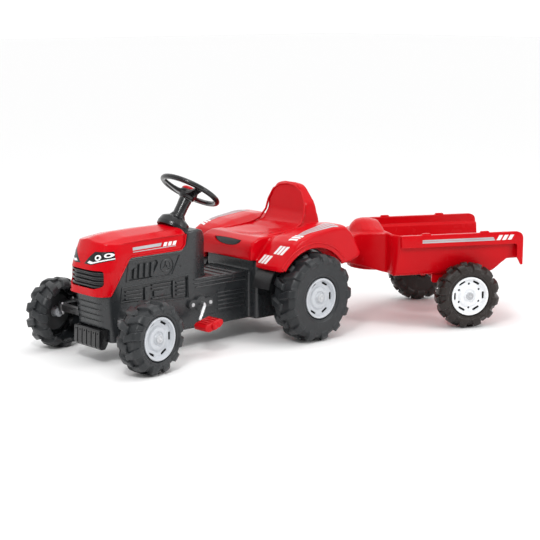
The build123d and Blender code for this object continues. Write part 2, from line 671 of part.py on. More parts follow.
with BuildPart() as hitch_pin:
    with Locations((HITCH_X, 0, HITCH_Z - 4)):
        Cylinder(AXLE_ROD, NECK_HIGH + GAP + 8 - HITCH_Z, align=(Align.CENTER, Align.CENTER, Align.MIN))
    with Locations((HITCH_X, 0, NECK_HIGH + GAP)):
        Cylinder(10, 5, align=(Align.CENTER, Align.CENTER, Align.MIN))
    with Locations((HITCH_X, 0, HITCH_Z - 4)):
        Cylinder(8, 4, align=(Align.CENTER, Align.CENTER, Align.MIN))
keep(hitch_pin.part, "hitch_pin")


# ---- trailer ----------------------------------------------------------------------------------
def tub_mass(inset, lift):
    """Outside of the load tub, or its hollow, which is open above and over the sill."""
    side = [
        (TUB_FRONT, TUB_FLOOR), (-577, TUB_FLOOR), (-625, 195), (TUB_BACK - lift, 195),
        (TUB_BACK - lift, TUB_TOP + lift), (TUB_FRONT, TUB_TOP + lift),
    ]
    grow = lift * 0.16
    section = [(-165, 140), (165, 140), (184 + grow, TUB_TOP + lift), (-184 - grow, TUB_TOP + lift)]
    with BuildPart() as mass:
        add(prism(side, -200, 200, inset=inset))
        add(prism(section, -720, 0, plane=Plane.YZ, inset=inset), mode=Mode.INTERSECT)
    return mass.part


def neck_mass(inset, drop):
    """Outside of the drawbar neck that grows out of the tub, or its hollow."""
    side = [
        (16, NECK_LOW), (16, NECK_HIGH), (-24, NECK_HIGH), (-60, 224), (-150, 258), (-190, 275),
        (TUB_FRONT - 2, 276),
        (TUB_FRONT - 2, TUB_FLOOR - drop), (-200, 168 - drop), (-165, 181 - drop), (-40, NECK_LOW - drop),
    ]
    if drop:
        side = [(-24, NECK_LOW - drop), (-24, NECK_HIGH)] + side[3:-1]
    plan = [
        (20, 20), (20, -20), (-60, -32), (-180, -66), (-264, -110),
        (-264, 110), (-180, 66), (-60, 32),
    ]
    with BuildPart() as mass:
        add(prism(side, -150, 150, inset=inset))
        add(prism(plan, 0, 400, plane=Plane.XY, inset=inset), mode=Mode.INTERSECT)
    return mass.part


def dome_mass(inset):
    """Rounded headboard that bulges forward over the root of the neck."""
    with BuildPart() as mass:
        with BuildSketch(Plane.XY.offset(160)):
            with Locations((TUB_FRONT, 0)):
                Ellipse(80 - inset, 90 - inset)
        extrude(amount=160 - inset, taper=5)
        fillet(mass.edges().group_by(Axis.Z)[-1], 24 - inset)
        with Locations((TUB_FRONT, 0, 240)):
            Box(200, 300, 400, align=(Align.MAX, Align.CENTER, Align.CENTER), mode=Mode.SUBTRACT)
    return mass.part


bracket_side = [(-392, 154), (-392, 128), (-440, 126), (-468, 88), (-498, 88), (-560, 158)]
with BuildPart() as trailer_tub:
    add(tub_mass(0, 0))
    add(neck_mass(0, 0))
    add(dome_mass(0))
    add(tub_mass(WALL + 1, 30), mode=Mode.SUBTRACT)
    add(neck_mass(WALL, 30), mode=Mode.SUBTRACT)
    add(dome_mass(WALL), mode=Mode.SUBTRACT)
    # back of the headboard
    head = [(-70, 262), (70, 262), (70, 290), (40, 314), (-40, 314), (-70, 290)]
    add(prism(head, TUB_FRONT - 1 - WALL, TUB_FRONT, plane=Plane.YZ))
    # rim flange with its hanging band, and the flared corner at the tail
    for side in (1, -1):
        with Locations((TUB_FRONT - 3, side * 188, TUB_TOP)):
            Box(RIM_LENGTH, 14, 4, align=(Align.MAX, Align.CENTER, Align.MAX))
        with Locations((TUB_FRONT - 3, side * 193, TUB_TOP)):
            Box(RIM_LENGTH, 4, TUB_TOP - BAND_BOTTOM, align=(Align.MAX, Align.CENTER, Align.MAX))
        with Locations((TUB_BACK, side * 183, TUB_TOP)):
            Box(4, 24, TUB_TOP - 177, align=(Align.MAX, Align.CENTER, Align.MAX))
        with Locations(*[(x, side * 188, TUB_TOP) for x in (-358, -544)]):
            Box(34, 8, 5, align=(Align.CENTER, Align.CENTER, Align.MIN))
        low, high = sorted((-side * 147, -side * 155))
        add(prism(bracket_side, low, high))
    with Locations((0, 0, NECK_LOW)):
        Cylinder(20, NECK_HIGH - NECK_LOW, align=(Align.CENTER, Align.CENTER, Align.MIN))
    with Locations((0, 0, NECK_LOW)):
        Cylinder(
            AXLE_ROD + RUN, 2 * (NECK_HIGH - NECK_LOW),
            align=(Align.CENTER, Align.CENTER, Align.CENTER), mode=Mode.SUBTRACT,
        )
        Cylinder(
            AXLE_ROD + RUN, 2 * (NECK_HIGH - NECK_LOW),
            align=(Align.CENTER, Align.CENTER, Align.MIN), mode=Mode.SUBTRACT,
        )
    with Locations(Location((TRAILER_AXLE_X, 0, TRAILER_RADIUS), (90, 0, 0))):
        Cylinder(AXLE_ROD, 400, mode=Mode.SUBTRACT)
keep(trailer_tub.part, "trailer_tub", TRAILER)

with BuildPart() as trailer_axle:
    with Locations(Location((TRAILER_AXLE_X, 0, TRAILER_RADIUS), (90, 0, 0))):
        Cylinder(AXLE_ROD, 2 * (TRAILER_DISC_Y - 6))
keep(trailer_axle.part, "trailer_axle", TRAILER)

# ---- place and write ------------------------------------------------------------------------------
placed = [part.moved(place) for part, label, place in pieces]
extent = Compound(children=[piece.moved(STILL) for piece in placed]).bounding_box()
HOME = Location((-extent.center().X, -extent.center().Y, -extent.min.Z))

for piece, (part, label, place) in zip(placed, pieces):
    final = piece.moved(HOME)
    final.label = label
    export_step(final, f"parts/{label}.step")
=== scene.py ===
"""Ride-on pedal tractor with a trailer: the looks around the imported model."""

import json
from math import atan2, cos, pi, radians, sin, tan, tau

import bmesh
import bpy
from mathutils import Matrix, Vector


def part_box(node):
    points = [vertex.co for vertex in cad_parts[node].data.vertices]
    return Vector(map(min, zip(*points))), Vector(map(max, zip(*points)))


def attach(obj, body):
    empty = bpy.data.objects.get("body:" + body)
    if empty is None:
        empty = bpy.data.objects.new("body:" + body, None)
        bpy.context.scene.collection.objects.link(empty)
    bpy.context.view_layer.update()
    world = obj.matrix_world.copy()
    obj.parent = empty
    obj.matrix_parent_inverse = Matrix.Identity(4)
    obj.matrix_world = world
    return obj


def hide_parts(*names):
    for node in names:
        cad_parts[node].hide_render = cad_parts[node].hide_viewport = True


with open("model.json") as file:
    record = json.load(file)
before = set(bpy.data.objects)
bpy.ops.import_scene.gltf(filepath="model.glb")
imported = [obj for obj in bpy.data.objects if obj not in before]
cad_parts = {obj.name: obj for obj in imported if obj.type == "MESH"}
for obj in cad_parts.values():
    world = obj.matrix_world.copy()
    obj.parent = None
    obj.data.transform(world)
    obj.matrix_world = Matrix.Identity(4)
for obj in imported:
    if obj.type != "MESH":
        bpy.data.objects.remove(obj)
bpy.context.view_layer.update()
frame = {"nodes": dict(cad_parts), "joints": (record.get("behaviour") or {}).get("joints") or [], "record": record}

# ---- frames: everything is drawn in millimetres and placed by one of these ----
MM = Matrix.Scale(0.001, 4)


def joint(name):
    """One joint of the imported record."""
    return next(j for j in frame["joints"] if j["name"] == name)


def middle(node):
    """Middle of a node's box, in metres."""
    low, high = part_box(node)
    return (low + high) / 2


def heading(axis):
    """Turn about Z that brings +Y onto a wheel's axis."""
    return Matrix.Rotation(atan2(-axis[0], axis[1]), 4, "Z")


SIDES = (("left", 1), ("right", -1))
REAR_RADIUS = 127.5
axle_at = middle("rear_axle")
GROUND = axle_at.z - REAR_RADIUS / 1000
TRACTOR = Matrix.Translation((axle_at.x, axle_at.y, GROUND)) @ MM
hitch_at = joint("trailer_swing")["pos_m"]
TRAILER = (
    Matrix.Translation((hitch_at[0], hitch_at[1], GROUND))
    @ heading(joint("trailer_wheel_left_spin")["axis"]) @ MM
)
column = joint("steering_turn")
WHEEL_TILT = atan2(-column["axis"][0], column["axis"][2])
WHEEL_TURN = radians(9.83)  # the steering wheel's own turn at rest
STEERING = (
    Matrix.Translation(column["pos_m"])
    @ Matrix.Rotation(-WHEEL_TILT, 4, "Y") @ Matrix.Rotation(WHEEL_TURN, 4, "Z") @ MM
)
COLUMN = Matrix.Translation(column["pos_m"]) @ Matrix.Rotation(-WHEEL_TILT, 4, "Y") @ MM


# ---- camera, floor and light ----
CAMERA_AT = (2736.0, 3052.5, 957.6)  # in the tractor's frame
CAMERA_AZIMUTH, CAMERA_DOWN = 137.75, 10.83
CAMERA_LENS, CAMERA_SENSOR = 93.33, 36.0
LIGHT_FROM = (-0.42, -0.46, 0.78)  # the world is bright overhead and behind, dim in front
WORLD_DIM, WORLD_BRIGHT = 0.20, 1.22


def link(obj):
    bpy.context.scene.collection.objects.link(obj)
    return obj


def set_range(made, start, end, low, high):
    """A Map Range node that carries start to end onto low to high."""
    for key, number in zip(("From Min", "From Max", "To Min", "To Max"), (start, end, low, high)):
        made.inputs[key].default_value = number


def add_camera():
    data = bpy.data.cameras.new("camera")
    data.lens, data.sensor_width = CAMERA_LENS, CAMERA_SENSOR
    data.clip_end = 60
    camera = link(bpy.data.objects.new("camera", data))
    camera.location = TRACTOR @ Vector(CAMERA_AT)
    camera.rotation_euler = (radians(90 - CAMERA_DOWN), 0, radians(CAMERA_AZIMUTH))
    bpy.context.scene.camera = camera


def add_lamp(name, place, aim, size, power):
    """A square softbox at one place, facing another."""
    data = bpy.data.lights.new(name, "AREA")
    data.shape, data.size, data.energy = "SQUARE", size, power
    lamp = link(bpy.data.objects.new(name, data))
    lamp.location = place
    lamp.rotation_euler = (Vector(aim) - Vector(place)).to_track_quat("-Z", "Y").to_euler()


def add_studio():
    world = bpy.data.worlds.new("studio")
    world.use_nodes = True
    tree = world.node_tree
    place = tree.nodes.new("ShaderNodeTexCoord")
    split = tree.nodes.new("ShaderNodeVectorMath")
    split.operation = "DOT_PRODUCT"
    split.inputs[1].default_value = LIGHT_FROM
    ramp = tree.nodes.new("ShaderNodeMapRange")
    set_range(ramp, -0.5, 0.5, WORLD_DIM, WORLD_BRIGHT)
    tree.links.new(place.outputs["Generated"], split.inputs[0])
    tree.links.new(split.outputs["Value"], ramp.inputs["Value"])
    tree.nodes["Background"].inputs["Color"].default_value = (1, 1, 1, 1)
    tree.links.new(ramp.outputs[0], tree.nodes["Background"].inputs["Strength"])
    bpy.context.scene.world = world
    bpy.context.scene.view_settings.view_transform = "Standard"
    add_lamp("overhead", (-0.2, 0.1, 2.4), (0, 0, 0.2), size=1.2, power=10)
    add_lamp("key", (1.9, 1.2, 1.9), (0.2, 0, 0.2), size=0.45, power=26)
    add_lamp("side", (-1.2, 2.6, 1.3), (-0.1, 0, 0.2), size=0.5, power=20)
    bpy.ops.mesh.primitive_plane_add(size=60, location=(0, 0, 0))
    ground = bpy.context.object
    ground.name = "floor"
    ground.data.materials.append(paper())


# ---- materials ----
class Graph:
    """Short hand for wiring a material's nodes."""

    def __init__(self, name):
        self.material = bpy.data.materials.new(name)
        self.material.use_nodes = True
        self.tree = self.material.node_tree
        self.shader = self.tree.nodes["Principled BSDF"]
        place = self.tree.nodes.new("ShaderNodeTexCoord")
        self.place = place.outputs["Object"]

    def node(self, kind, settings=None, **sockets):
        made = self.tree.nodes.new(kind)
        for key, value in (settings or {}).items():
            setattr(made, key, value)
        for key, value in sockets.items():
            self.feed(made.inputs[key.replace("_", " ")], value)
        return made

    def feed(self, socket, value):
        if isinstance(value, bpy.types.NodeSocket):
            self.tree.links.new(value, socket)
        else:
            socket.default_value = value

    def noise(self, scale, detail=2.0, stretch=None):
        place = self.place
        if stretch:
            place = self.node("ShaderNodeMapping", Vector=self.place, Scale=stretch).outputs[0]
        return self.node("ShaderNodeTexNoise", Vector=place, Scale=scale, Detail=detail).outputs["Fac"]

    def spread(self, value, low, high, start=0.3, end=0.7):
        """A value from start to end, carried to low to high."""
        made = self.node("ShaderNodeMapRange", Value=value)
        set_range(made, start, end, low, high)
        return made.outputs[0]

    def mix(self, factor, first, second):
        made = self.node("ShaderNodeMix", {"data_type": "RGBA"})
        self.feed(made.inputs["Factor"], factor)
        self.feed(made.inputs["A"], first)
        self.feed(made.inputs["B"], second)
        return made.outputs["Result"]

    def maths(self, operation, first, second):
        made = self.node("ShaderNodeMath", {"operation": operation})
        self.feed(made.inputs[0], first)
        self.feed(made.inputs[1], second)
        return made.outputs[0]

    def bump(self, height, distance, strength, normal=None):
        made = self.node("ShaderNodeBump", Height=height, Distance=distance, Strength=strength)
        if normal:
            self.tree.links.new(normal, made.inputs["Normal"])
        return made.outputs["Normal"]

    def set(self, **sockets):
        for key, value in sockets.items():
            self.feed(self.shader.inputs[key.replace("_", " ")], value)


def tone(colour, factor):
    return tuple(min(1.0, c * factor) for c in colour) + (1,)


def plastic(name, colour, rough=0.3, grain=0.02, wear_and_edge_highlight=0.10, mottle=0.10, shine=0.5):
    """Moulded plastic: slight mottling, fine grain, soft ripple, faint scuffs, and a painted highlight that
    lightens its sharp edges.
    """
    g = Graph(name)
    cloud = g.spread(g.noise(9, 3), 0, 1)
    base = g.mix(cloud, tone(colour, 1 - mottle), tone(colour, 1 + mottle))
    scuff = g.spread(g.noise(60, 6, (1, 3.5, 0.6)), 0, 1, 0.60, 0.74)
    # Pointiness picks out the sharp convex edges, which are lightened as a painted highlight, not wear.
    edge = g.spread(g.node("ShaderNodeNewGeometry").outputs["Pointiness"], 0, 1, 0.53, 0.60)
    scuffs_and_edge_highlight = g.maths("MAXIMUM", g.maths("MULTIPLY", scuff, 0.35), g.maths("MULTIPLY", edge, 0.8))
    # Paler tint taken by the real scuffs and by the painted edge highlight alike.
    scuff_and_highlight_tint = tuple(c + (0.5 - c) * 0.35 for c in colour) + (1,)
    base = g.mix(g.maths("MULTIPLY", scuffs_and_edge_highlight, wear_and_edge_highlight), base, scuff_and_highlight_tint)
    fine = g.noise(1500, 2)
    ripple = g.noise(14, 1)
    uneven = g.spread(g.noise(30, 4), rough * 0.85, rough * 1.15)
    rough_now = g.maths("ADD", uneven, g.maths("MULTIPLY", scuffs_and_edge_highlight, 0.10))
    normal = g.bump(fine, 0.0004, grain * 10)
    normal = g.bump(ripple, 0.003, 0.12, normal)
    g.set(Base_Color=base, Roughness=rough_now, Normal=normal)
    g.set(IOR=1.5, Specular_IOR_Level=shine)
    return g.material


def steel(name, colour=(0.62, 0.62, 0.63), rough=0.32):
    """Zinc-plated rod: drawn lines, cloudy plating and a few dull specks."""
    g = Graph(name)
    cloud = g.spread(g.noise(25, 4), 0, 1)
    base = g.mix(cloud, tone(colour, 0.8), tone(colour, 1.1))
    speck = g.spread(g.noise(220, 3), 0, 1, 0.62, 0.72)
    base = g.mix(g.maths("MULTIPLY", speck, 0.4), base, (0.22, 0.20, 0.18, 1))
    lines = g.noise(300, 2, (1, 0.05, 1))
    g.set(Base_Color=base, Roughness=g.spread(lines, rough * 0.8, rough * 1.3), Metallic=1.0)
    g.set(Normal=g.bump(lines, 0.0002, 0.3))
    return g.material


def paper():
    """Pale studio floor."""
    g = Graph("paper")
    g.set(Base_Color=(0.90, 0.90, 0.90, 1), Roughness=0.8)
    return g.material


RED = plastic("red_plastic", (0.54, 0.001, 0.006), 0.16, wear_and_edge_highlight=0.04, mottle=0.05, shine=0.17)
RED_TUB = plastic("red_tub_plastic", (0.54, 0.001, 0.005), 0.24, wear_and_edge_highlight=0.04, mottle=0.05, shine=0.15)
DECAL = plastic("decal_white", (0.80, 0.80, 0.80), 0.35, wear_and_edge_highlight=0.0)
DECAL_SILVER = plastic("decal_silver", (0.42, 0.43, 0.45), 0.35, wear_and_edge_highlight=0.0)
RED_TRIM = plastic("red_trim_plastic", (0.50, 0.002, 0.006), 0.32, shine=0.2)
GREY = plastic("body_plastic", (0.019, 0.021, 0.023), 0.26, grain=0.04, shine=0.5)
BLACK = plastic("black_plastic", (0.006, 0.006, 0.007), 0.22, grain=0.03, shine=0.5)
TYRE = plastic("tyre_plastic", (0.015, 0.017, 0.019), 0.36, grain=0.05, wear_and_edge_highlight=0.2, shine=0.4)
TRAILER_TYRE = plastic("trailer_tyre_plastic", (0.018, 0.013, 0.011), 0.38, grain=0.05, wear_and_edge_highlight=0.2, shine=0.35)
SILVER = plastic("disc_plastic", (0.50, 0.52, 0.55), 0.33, mottle=0.03)
WHITE_DISC = plastic("trailer_disc_plastic", (0.82, 0.84, 0.86), 0.33, mottle=0.03)
CAP = plastic("cap_plastic", (0.50, 0.51, 0.53), 0.25, mottle=0.04)
STEEL = steel("zinc_steel")

SLOT_MATERIAL = {
    "red_shell": RED, "red_tub": RED_TUB, "red_trim": RED_TRIM, "body_grey": GREY, "black_trim": BLACK,
    "tyre": TYRE, "trailer_tyre": TRAILER_TYRE, "disc": SILVER, "cap": CAP, "steel": STEEL,
}
SLOT = {part["node"]: part["material_slot"] for part in frame["record"]["subparts"]}
BODY = {node: body for body, group in frame["record"]["behaviour"]["bodies"].items() for node in group}


def dress(obj, material):
    obj.data.materials.clear()
    obj.data.materials.append(material)


for node, obj in frame["nodes"].items():
    dress(obj, SLOT_MATERIAL[SLOT[node]])


# ---- mesh tools: millimetres, closed solids ----
BEVEL_ANGLE, CREASE_ANGLE = radians(35), radians(38)


def strip(a, b, n):
    """Faces between two rings of n points, whose first points are a and b."""
    return [(a + i, a + (i + 1) % n, b + (i + 1) % n, b + i) for i in range(n)]


def make(name, points, faces):
    """A closed mesh with its faces turned outwards."""
    mesh = bpy.data.meshes.new(name)
    mesh.from_pydata([tuple(p) for p in points], [], faces)
    work = bmesh.new()
    work.from_mesh(mesh)
    bmesh.ops.remove_doubles(work, verts=work.verts, dist=0.001)
    bmesh.ops.recalc_face_normals(work, faces=work.faces)
    work.to_mesh(mesh)
    work.free()
    return link(bpy.data.objects.new(name, mesh))


def apply(obj, kind, **settings):
    """Adds one modifier and bakes it into the mesh."""
    modifier = obj.modifiers.new(kind, kind)
    for key, value in settings.items():
        setattr(modifier, key, value)
    graph = bpy.context.evaluated_depsgraph_get()
    mesh = bpy.data.meshes.new_from_object(obj.evaluated_get(graph))
    obj.modifiers.clear()
    worn_out = obj.data
    obj.data = mesh
    bpy.data.meshes.remove(worn_out)
    return obj


def combine(operation, obj, others):
    """Boolean of obj with all of the others, which are used up."""
    others = list(others)
    while operation != "INTERSECT" and len(others) > 1:  # small ones first join each other
        extra = others.pop()
        combine("UNION", others[0], [extra])
    for other in others:
        apply(obj, "BOOLEAN", operation=operation, object=other, solver="MANIFOLD")
        bpy.data.objects.remove(other)
    return obj


def cut(obj, *others):
    return combine("DIFFERENCE", obj, others)


def merge(obj, *others):
    return combine("UNION", obj, others)


def common(obj, *others):
    return combine("INTERSECT", obj, others)


def rounded(points, radius=0.0, steps=5):
    """Closed outline with soft corners; a point's own third number replaces the radius."""
    line = []
    for i, point in enumerate(points):
        here = Vector(point[:2])
        before = Vector(points[i - 1][:2]) - here
        after = Vector(points[(i + 1) % len(points)][:2]) - here
        size = point[2] if len(point) > 2 else radius
        half = before.angle(after) / 2
        if size <= 0:
            line.append(here)
            continue
        reach = min(size / tan(half), 0.49 * before.length, 0.49 * after.length)
        start, end = here + before.normalized() * reach, here + after.normalized() * reach
        for k in range(steps + 1):
            t = k / steps
            line.append(start * (1 - t) ** 2 + here * 2 * t * (1 - t) + end * t * t)
    return line


def span(side, near, far):
    """Low and high end of a stretch across the object, on the side that is 1 or -1."""
    return sorted((side * near, side * far))


def circle(radius, steps, x=0.0, y=0.0):
    """Outline of a circle."""
    return [(x + radius * cos(tau * k / steps), y + radius * sin(tau * k / steps)) for k in range(steps)]


def mirrored(points, side):
    """Outline with its first number on the side that is 1 or -1."""
    return [(side * u, v) for u, v in points]


AXES = {"XZ": lambda u, v, w: (u, w, v), "XY": lambda u, v, w: (u, v, w), "YZ": lambda u, v, w: (w, u, v)}


def prism(outline, low, high, plane="XZ", soft=0.0, segments=3):
    """Outline carried from low to high across a plane, with its two rims softened."""
    spot = AXES[plane]
    n = len(outline)
    points = [spot(p[0], p[1], low) for p in outline] + [spot(p[0], p[1], high) for p in outline]
    faces = [list(range(n)), list(range(n, 2 * n))]
    obj = make("prism", points, faces + strip(0, n, n))
    return bevel(obj, soft, segments) if soft else obj


def bevel(obj, width, segments=3):
    return apply(
        obj, "BEVEL", width=width, segments=segments, limit_method="ANGLE", angle_limit=BEVEL_ANGLE,
        use_clamp_overlap=True,
    )


def block(x, y, z):
    """Box between two values on each axis."""
    (x0, x1), (y0, y1), (z0, z1) = x, y, z
    return prism([(x0, z0), (x1, z0), (x1, z1), (x0, z1)], y0, y1)


def loft(rings):
    """Solid through closed rings that all have the same number of points."""
    n = len(rings[0])
    points = [p for ring in rings for p in ring]
    faces = [list(range(n)), list(range(len(points) - n, len(points)))]
    for k in range(len(rings) - 1):
        faces += strip(k * n, (k + 1) * n, n)
    return make("loft", points, faces)


def lathe(profile, steps=96, axis="Y"):
    """Closed (radius, height) profile turned about an axis."""
    n = len(profile)
    points, faces = [], []
    for k in range(steps):
        c, s = cos(tau * k / steps), sin(tau * k / steps)
        for r, h in profile:
            points.append((r * c, h, r * s) if axis == "Y" else (r * c, r * s, h))
    for k in range(steps):
        faces += strip(k * n, (k + 1) % steps * n, n)
    return make("lathe", points, faces)


def tube(path, radius, sides=12):
    """Round rod along a path of points; radius may be one number for each point."""
    path = [Vector(p) for p in path]
    n = len(path)
    radii = radius if isinstance(radius, list) else [radius] * n
    points, faces = [], []
    across = None
    for i, here in enumerate(path):
        along = (path[min(i + 1, n - 1)] - path[max(i - 1, 0)]).normalized()
        if across is None:
            across = along.orthogonal().normalized()
        across = (across - along * across.dot(along)).normalized()
        other = along.cross(across)
        for k in range(sides):
            turn = tau * k / sides
            points.append(here + (across * cos(turn) + other * sin(turn)) * radii[i])
    for i in range(n - 1):
        faces += strip(i * sides, (i + 1) * sides, sides)
    faces += [list(range(sides)), list(range((n - 1) * sides, n * sides))]
    return make("tube", points, faces)


def mould(obj, voxel, passes):
    """Rounds a solid the way a moulding is: fine even skin, then smoothed."""
    apply(obj, "REMESH", mode="VOXEL", voxel_size=voxel, use_smooth_shade=True)
    return apply(obj, "SMOOTH", factor=0.5, iterations=passes)


def skin_of(solid, thick=0.5):
    """Thin layer lying on a solid, to be cut into stickers."""
    layer = link(bpy.data.objects.new("skin", solid.data.copy()))
    core = link(bpy.data.objects.new("core", solid.data.copy()))
    apply(layer, "DISPLACE", strength=thick, mid_level=0.0)
    return cut(layer, core)


def copy_solid(obj):
    """Another object with a mesh of its own."""
    return link(bpy.data.objects.new(obj.name, obj.data.copy()))


def sticker(skin, name, material, slot, *shapes):
    """Piece of the tractor's skin inside the given shapes."""
    finish(common(merge(*shapes), skin), name, TRACTOR, "tractor", material, slot)


def slanted(x, z, wide, tall, lean):
    """Leaning bar of a decal."""
    return [(x, z), (x + wide, z), (x + wide + lean, z + tall), (x + lean, z + tall)]


def moved(obj, matrix):
    obj.data.transform(matrix)
    return obj


def finish(obj, name, place, body, material, slot, *replaced):
    """Names a piece, puts it in the row frame and ties it to its CAD body."""
    obj.name = obj.data.name = name
    obj.data.transform(place)
    if place.determinant() < 0:
        obj.data.flip_normals()
    obj.data.validate()
    obj.data.shade_smooth()
    obj.data.set_sharp_from_angle(angle=CREASE_ANGLE)
    dress(obj, material)
    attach(obj, body)
    if replaced:
        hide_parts(*replaced)


# ---- wheels ----
def ease(value):
    """Smooth step from 0 to 1."""
    value = max(0.0, min(1.0, value))
    return value * value * (3 - 2 * value)


def spaced(points, step):
    """Points along a closed outline at an even spacing."""
    out = []
    for a, b in zip(points, points[1:] + points[:1]):
        count = max(1, round((b - a).length / step))
        out += [a.lerp(b, k / count) for k in range(count)]
    return out


LUG_TALL, LUG_REACH = 8.2, 24  # a lug's height, and how far down the shoulder it runs
HUB_RADIUS = 13
SLOT_RING, HOLE_RING = 44.2, 36  # radii on which a disc's slots and the trailer's holes lie


def tyre_skin(radius, width, lugs, opening):
    """Closed skin of a blow-moulded tyre, with chevron lugs that wrap down over both shoulders."""
    half, tread = width / 2, radius - 9.0
    outline = [
        (55, half - 10, 1), (60, half - 10, 2), (63, half - 5, 2), (67, half - 5, 2), (71, half - 2.5, 3),
        (tread - 13, half - 2, 6), (tread, half - 15, 8), (tread + 1.5, 0, 30), (tread, 15 - half, 8),
        (tread - 13, 2 - half, 6), (opening + 8, 2 - half, 4), (opening, 6 - half, 2),
        (opening + 2, 10 - half, 2), (tread - 12, 7 - half, 6), (tread - 5, 18 - half, 6),
        (tread - 5, half - 18, 6), (tread - 12, half - 7, 4),
        (68, half - 9, 2), (62, half - 14, 2), (55, half - 14, 1),
    ]
    grain = 1.7 * radius / 98  # same number of steps round every tyre
    loop = spaced(rounded(outline, steps=4), 1.3 * grain)
    n = len(loop)
    normals = []
    for i, here in enumerate(loop):
        along = (loop[(i + 1) % n] - loop[i - 1]).normalized()
        normals.append(Vector((-along.y, along.x)))
    turning = sum(loop[i - 1].cross(loop[i]) for i in range(n))
    if turning > 0:
        normals = [-m for m in normals]
    steps = int(tau * radius / grain)
    pitch = tau / lugs
    points, faces = [], []
    for k in range(steps):
        angle = tau * k / steps
        c, s = cos(angle), sin(angle)
        for spot, normal in zip(loop, normals):
            r, y = spot
            outside = (normal.x > 0.25 or abs(normal.y) > 0.3) and r > tread - LUG_REACH and (
                abs(y) > half - 16.5 and r < tread + 1 and abs(y) > half - 5 or r > tread - 4.5
                or abs(y) - (half - 15) > (tread - r) * 0.2
            )
            lift = 0.0
            if outside:
                fade = ease((r - (tread - LUG_REACH)) / 9) if r < tread - 6 else 1.0
                for row in (1, -1):
                    inside = ease((row * y + 7) / 4)
                    lean = 0.42 * max(0.0, row * y) / radius
                    away = (angle - row * pitch / 4 - lean + pitch / 2) % pitch - pitch / 2
                    wide = 9.5 + 3.0 * ease(row * y / half)
                    lift = max(lift, fade * inside * ease((wide - abs(away) * r) / 3.6 + 0.5))
            tall = LUG_TALL if r > tread - 5 else LUG_TALL - (tread - 5 - r) * 0.42
            push = normal * lift * max(2.0, tall)
            r, y = r + push.x, y + push.y
            y = max(-half, min(half, y))
            points.append((r * c, y, r * s))
    for k in range(steps):
        faces += strip(k * n, (k + 1) % steps * n, n)
    return make("tyre", points, faces)


def disc_face(width, pressed):
    """Silver disc: bright rim, steep wall, dished floor with six slots, raised hub."""
    half = width / 2
    profile = rounded([
        (5.4, half - 17), (14, half - 21), (45, half - 21), (49.5, half - 11), (57.8, half - 9.6, 0.5),
        (57.8, half - 5.2, 1.2), (52.6, half - 5.2, 1.2), (48.6, half - 16.2, 1.5), (34, half - 17.4, 3),
        (29.5, half - 12.5, 3), (20, half - 11.2, 2), (17.8, half - 14, 1), (15, half - 14, 1),
        (12.2, half - 9.4, 0.8), (5.4, half - 9.4),
    ], steps=4)
    disc = lathe(profile, 120)
    for k in range(6):
        slot = [(-11, -2.9), (11, -2.9), (11, 2.9), (-11, 2.9)]
        hole = moved(prism(rounded(slot, 2.8), half - 30, half + 4), Matrix.Translation((0, 0, SLOT_RING)))
        cut(disc, moved(hole, Matrix.Rotation(radians(60 * k + 30), 4, "Y")))
        if pressed:
            small = prism(circle(3.6, 20, y=HOLE_RING), half - 30, half + 4)
            cut(disc, moved(small, Matrix.Rotation(radians(60 * k), 4, "Y")))
    return disc


def hub_skin(width, depth, bore):
    """Hub tube behind the disc."""
    front, out = width / 2 - 19, HUB_RADIUS + 0.6
    return lathe([(bore, depth), (HUB_RADIUS, depth), (out, depth + 1), (out, front), (bore, front)], 48)


def cap_skin(width):
    """Snap cap: ring, groove and a small domed middle."""
    half = width / 2
    profile = rounded([
        (0.01, half - 9), (12, half - 9, 0.5), (12, half - 6.4, 1.2), (9.6, half - 4.2, 1.0),
        (8.2, half - 4.2, 0.6), (7.4, half - 5.6, 0.6), (5.6, half - 5.6, 0.6), (4.6, half - 3.6, 1.2),
        (0.01, half - 3.2),
    ], steps=4)
    return lathe(profile, 64)


FRONT = dict(radius=98.0, width=80.0, lugs=12, opening=76)
REAR = dict(radius=REAR_RADIUS, width=90.0, lugs=13, opening=17)
CART = dict(radius=98.0, width=66.0, lugs=12, opening=17)
REAR_MID = 219.0  # middle of a rear tyre, from the tractor's middle plane
FLIP = Matrix.Rotation(pi, 4, "Z")


def wheel_frame(name, side):
    """Where one wheel stands: its middle, with +Y outwards."""
    if name == "rear":
        place = TRACTOR @ Matrix.Translation((0, side * REAR_MID, REAR_RADIUS))
    else:
        spin = joint(f"{name}_wheel_{'left' if side > 0 else 'right'}_spin")
        place = Matrix.Translation(spin["pos_m"]) @ heading(spin["axis"]) @ MM
    return place @ FLIP if side < 0 else place


def build_wheels():
    rows = (
        ("front", FRONT, TYRE, SILVER, "tyre", -4, 5.05),
        ("rear", REAR, TYRE, SILVER, "tyre", -45, 6.0),
        ("trailer", CART, TRAILER_TYRE, WHITE_DISC, "trailer_tyre", -33, 5.05),
    )
    for name, size, rubber, silver, slot, depth, bore in rows:
        tyre = tyre_skin(**size)
        if name == "front":  # dark inner wall that closes the tyre behind the disc
            half = size["width"] / 2
            merge(tyre, lathe([
                (16.5, half - 26), (52, half - 26), (64, half - 13), (61, half - 12), (51, half - 24.2),
                (16.5, half - 24.2),
            ]))
        disc = disc_face(size["width"], name == "trailer")
        merge(disc, hub_skin(size["width"], depth, bore))
        cap = cap_skin(size["width"])
        for side_name, side in SIDES:
            place = wheel_frame(name, side)
            for skin, kind, material, its_slot in (
                (tyre, "tyre", rubber, slot), (disc, "disc", silver, "disc"), (cap, "cap", CAP, "cap"),
            ):
                node = f"{name}_{kind}_{side_name}"
                piece = f"{kind}_{name}_{side_name}"
                finish(copy_solid(skin), piece, place, BODY[node], material, its_slot, node)
        for skin in (tyre, disc, cap):
            bpy.data.objects.remove(skin)


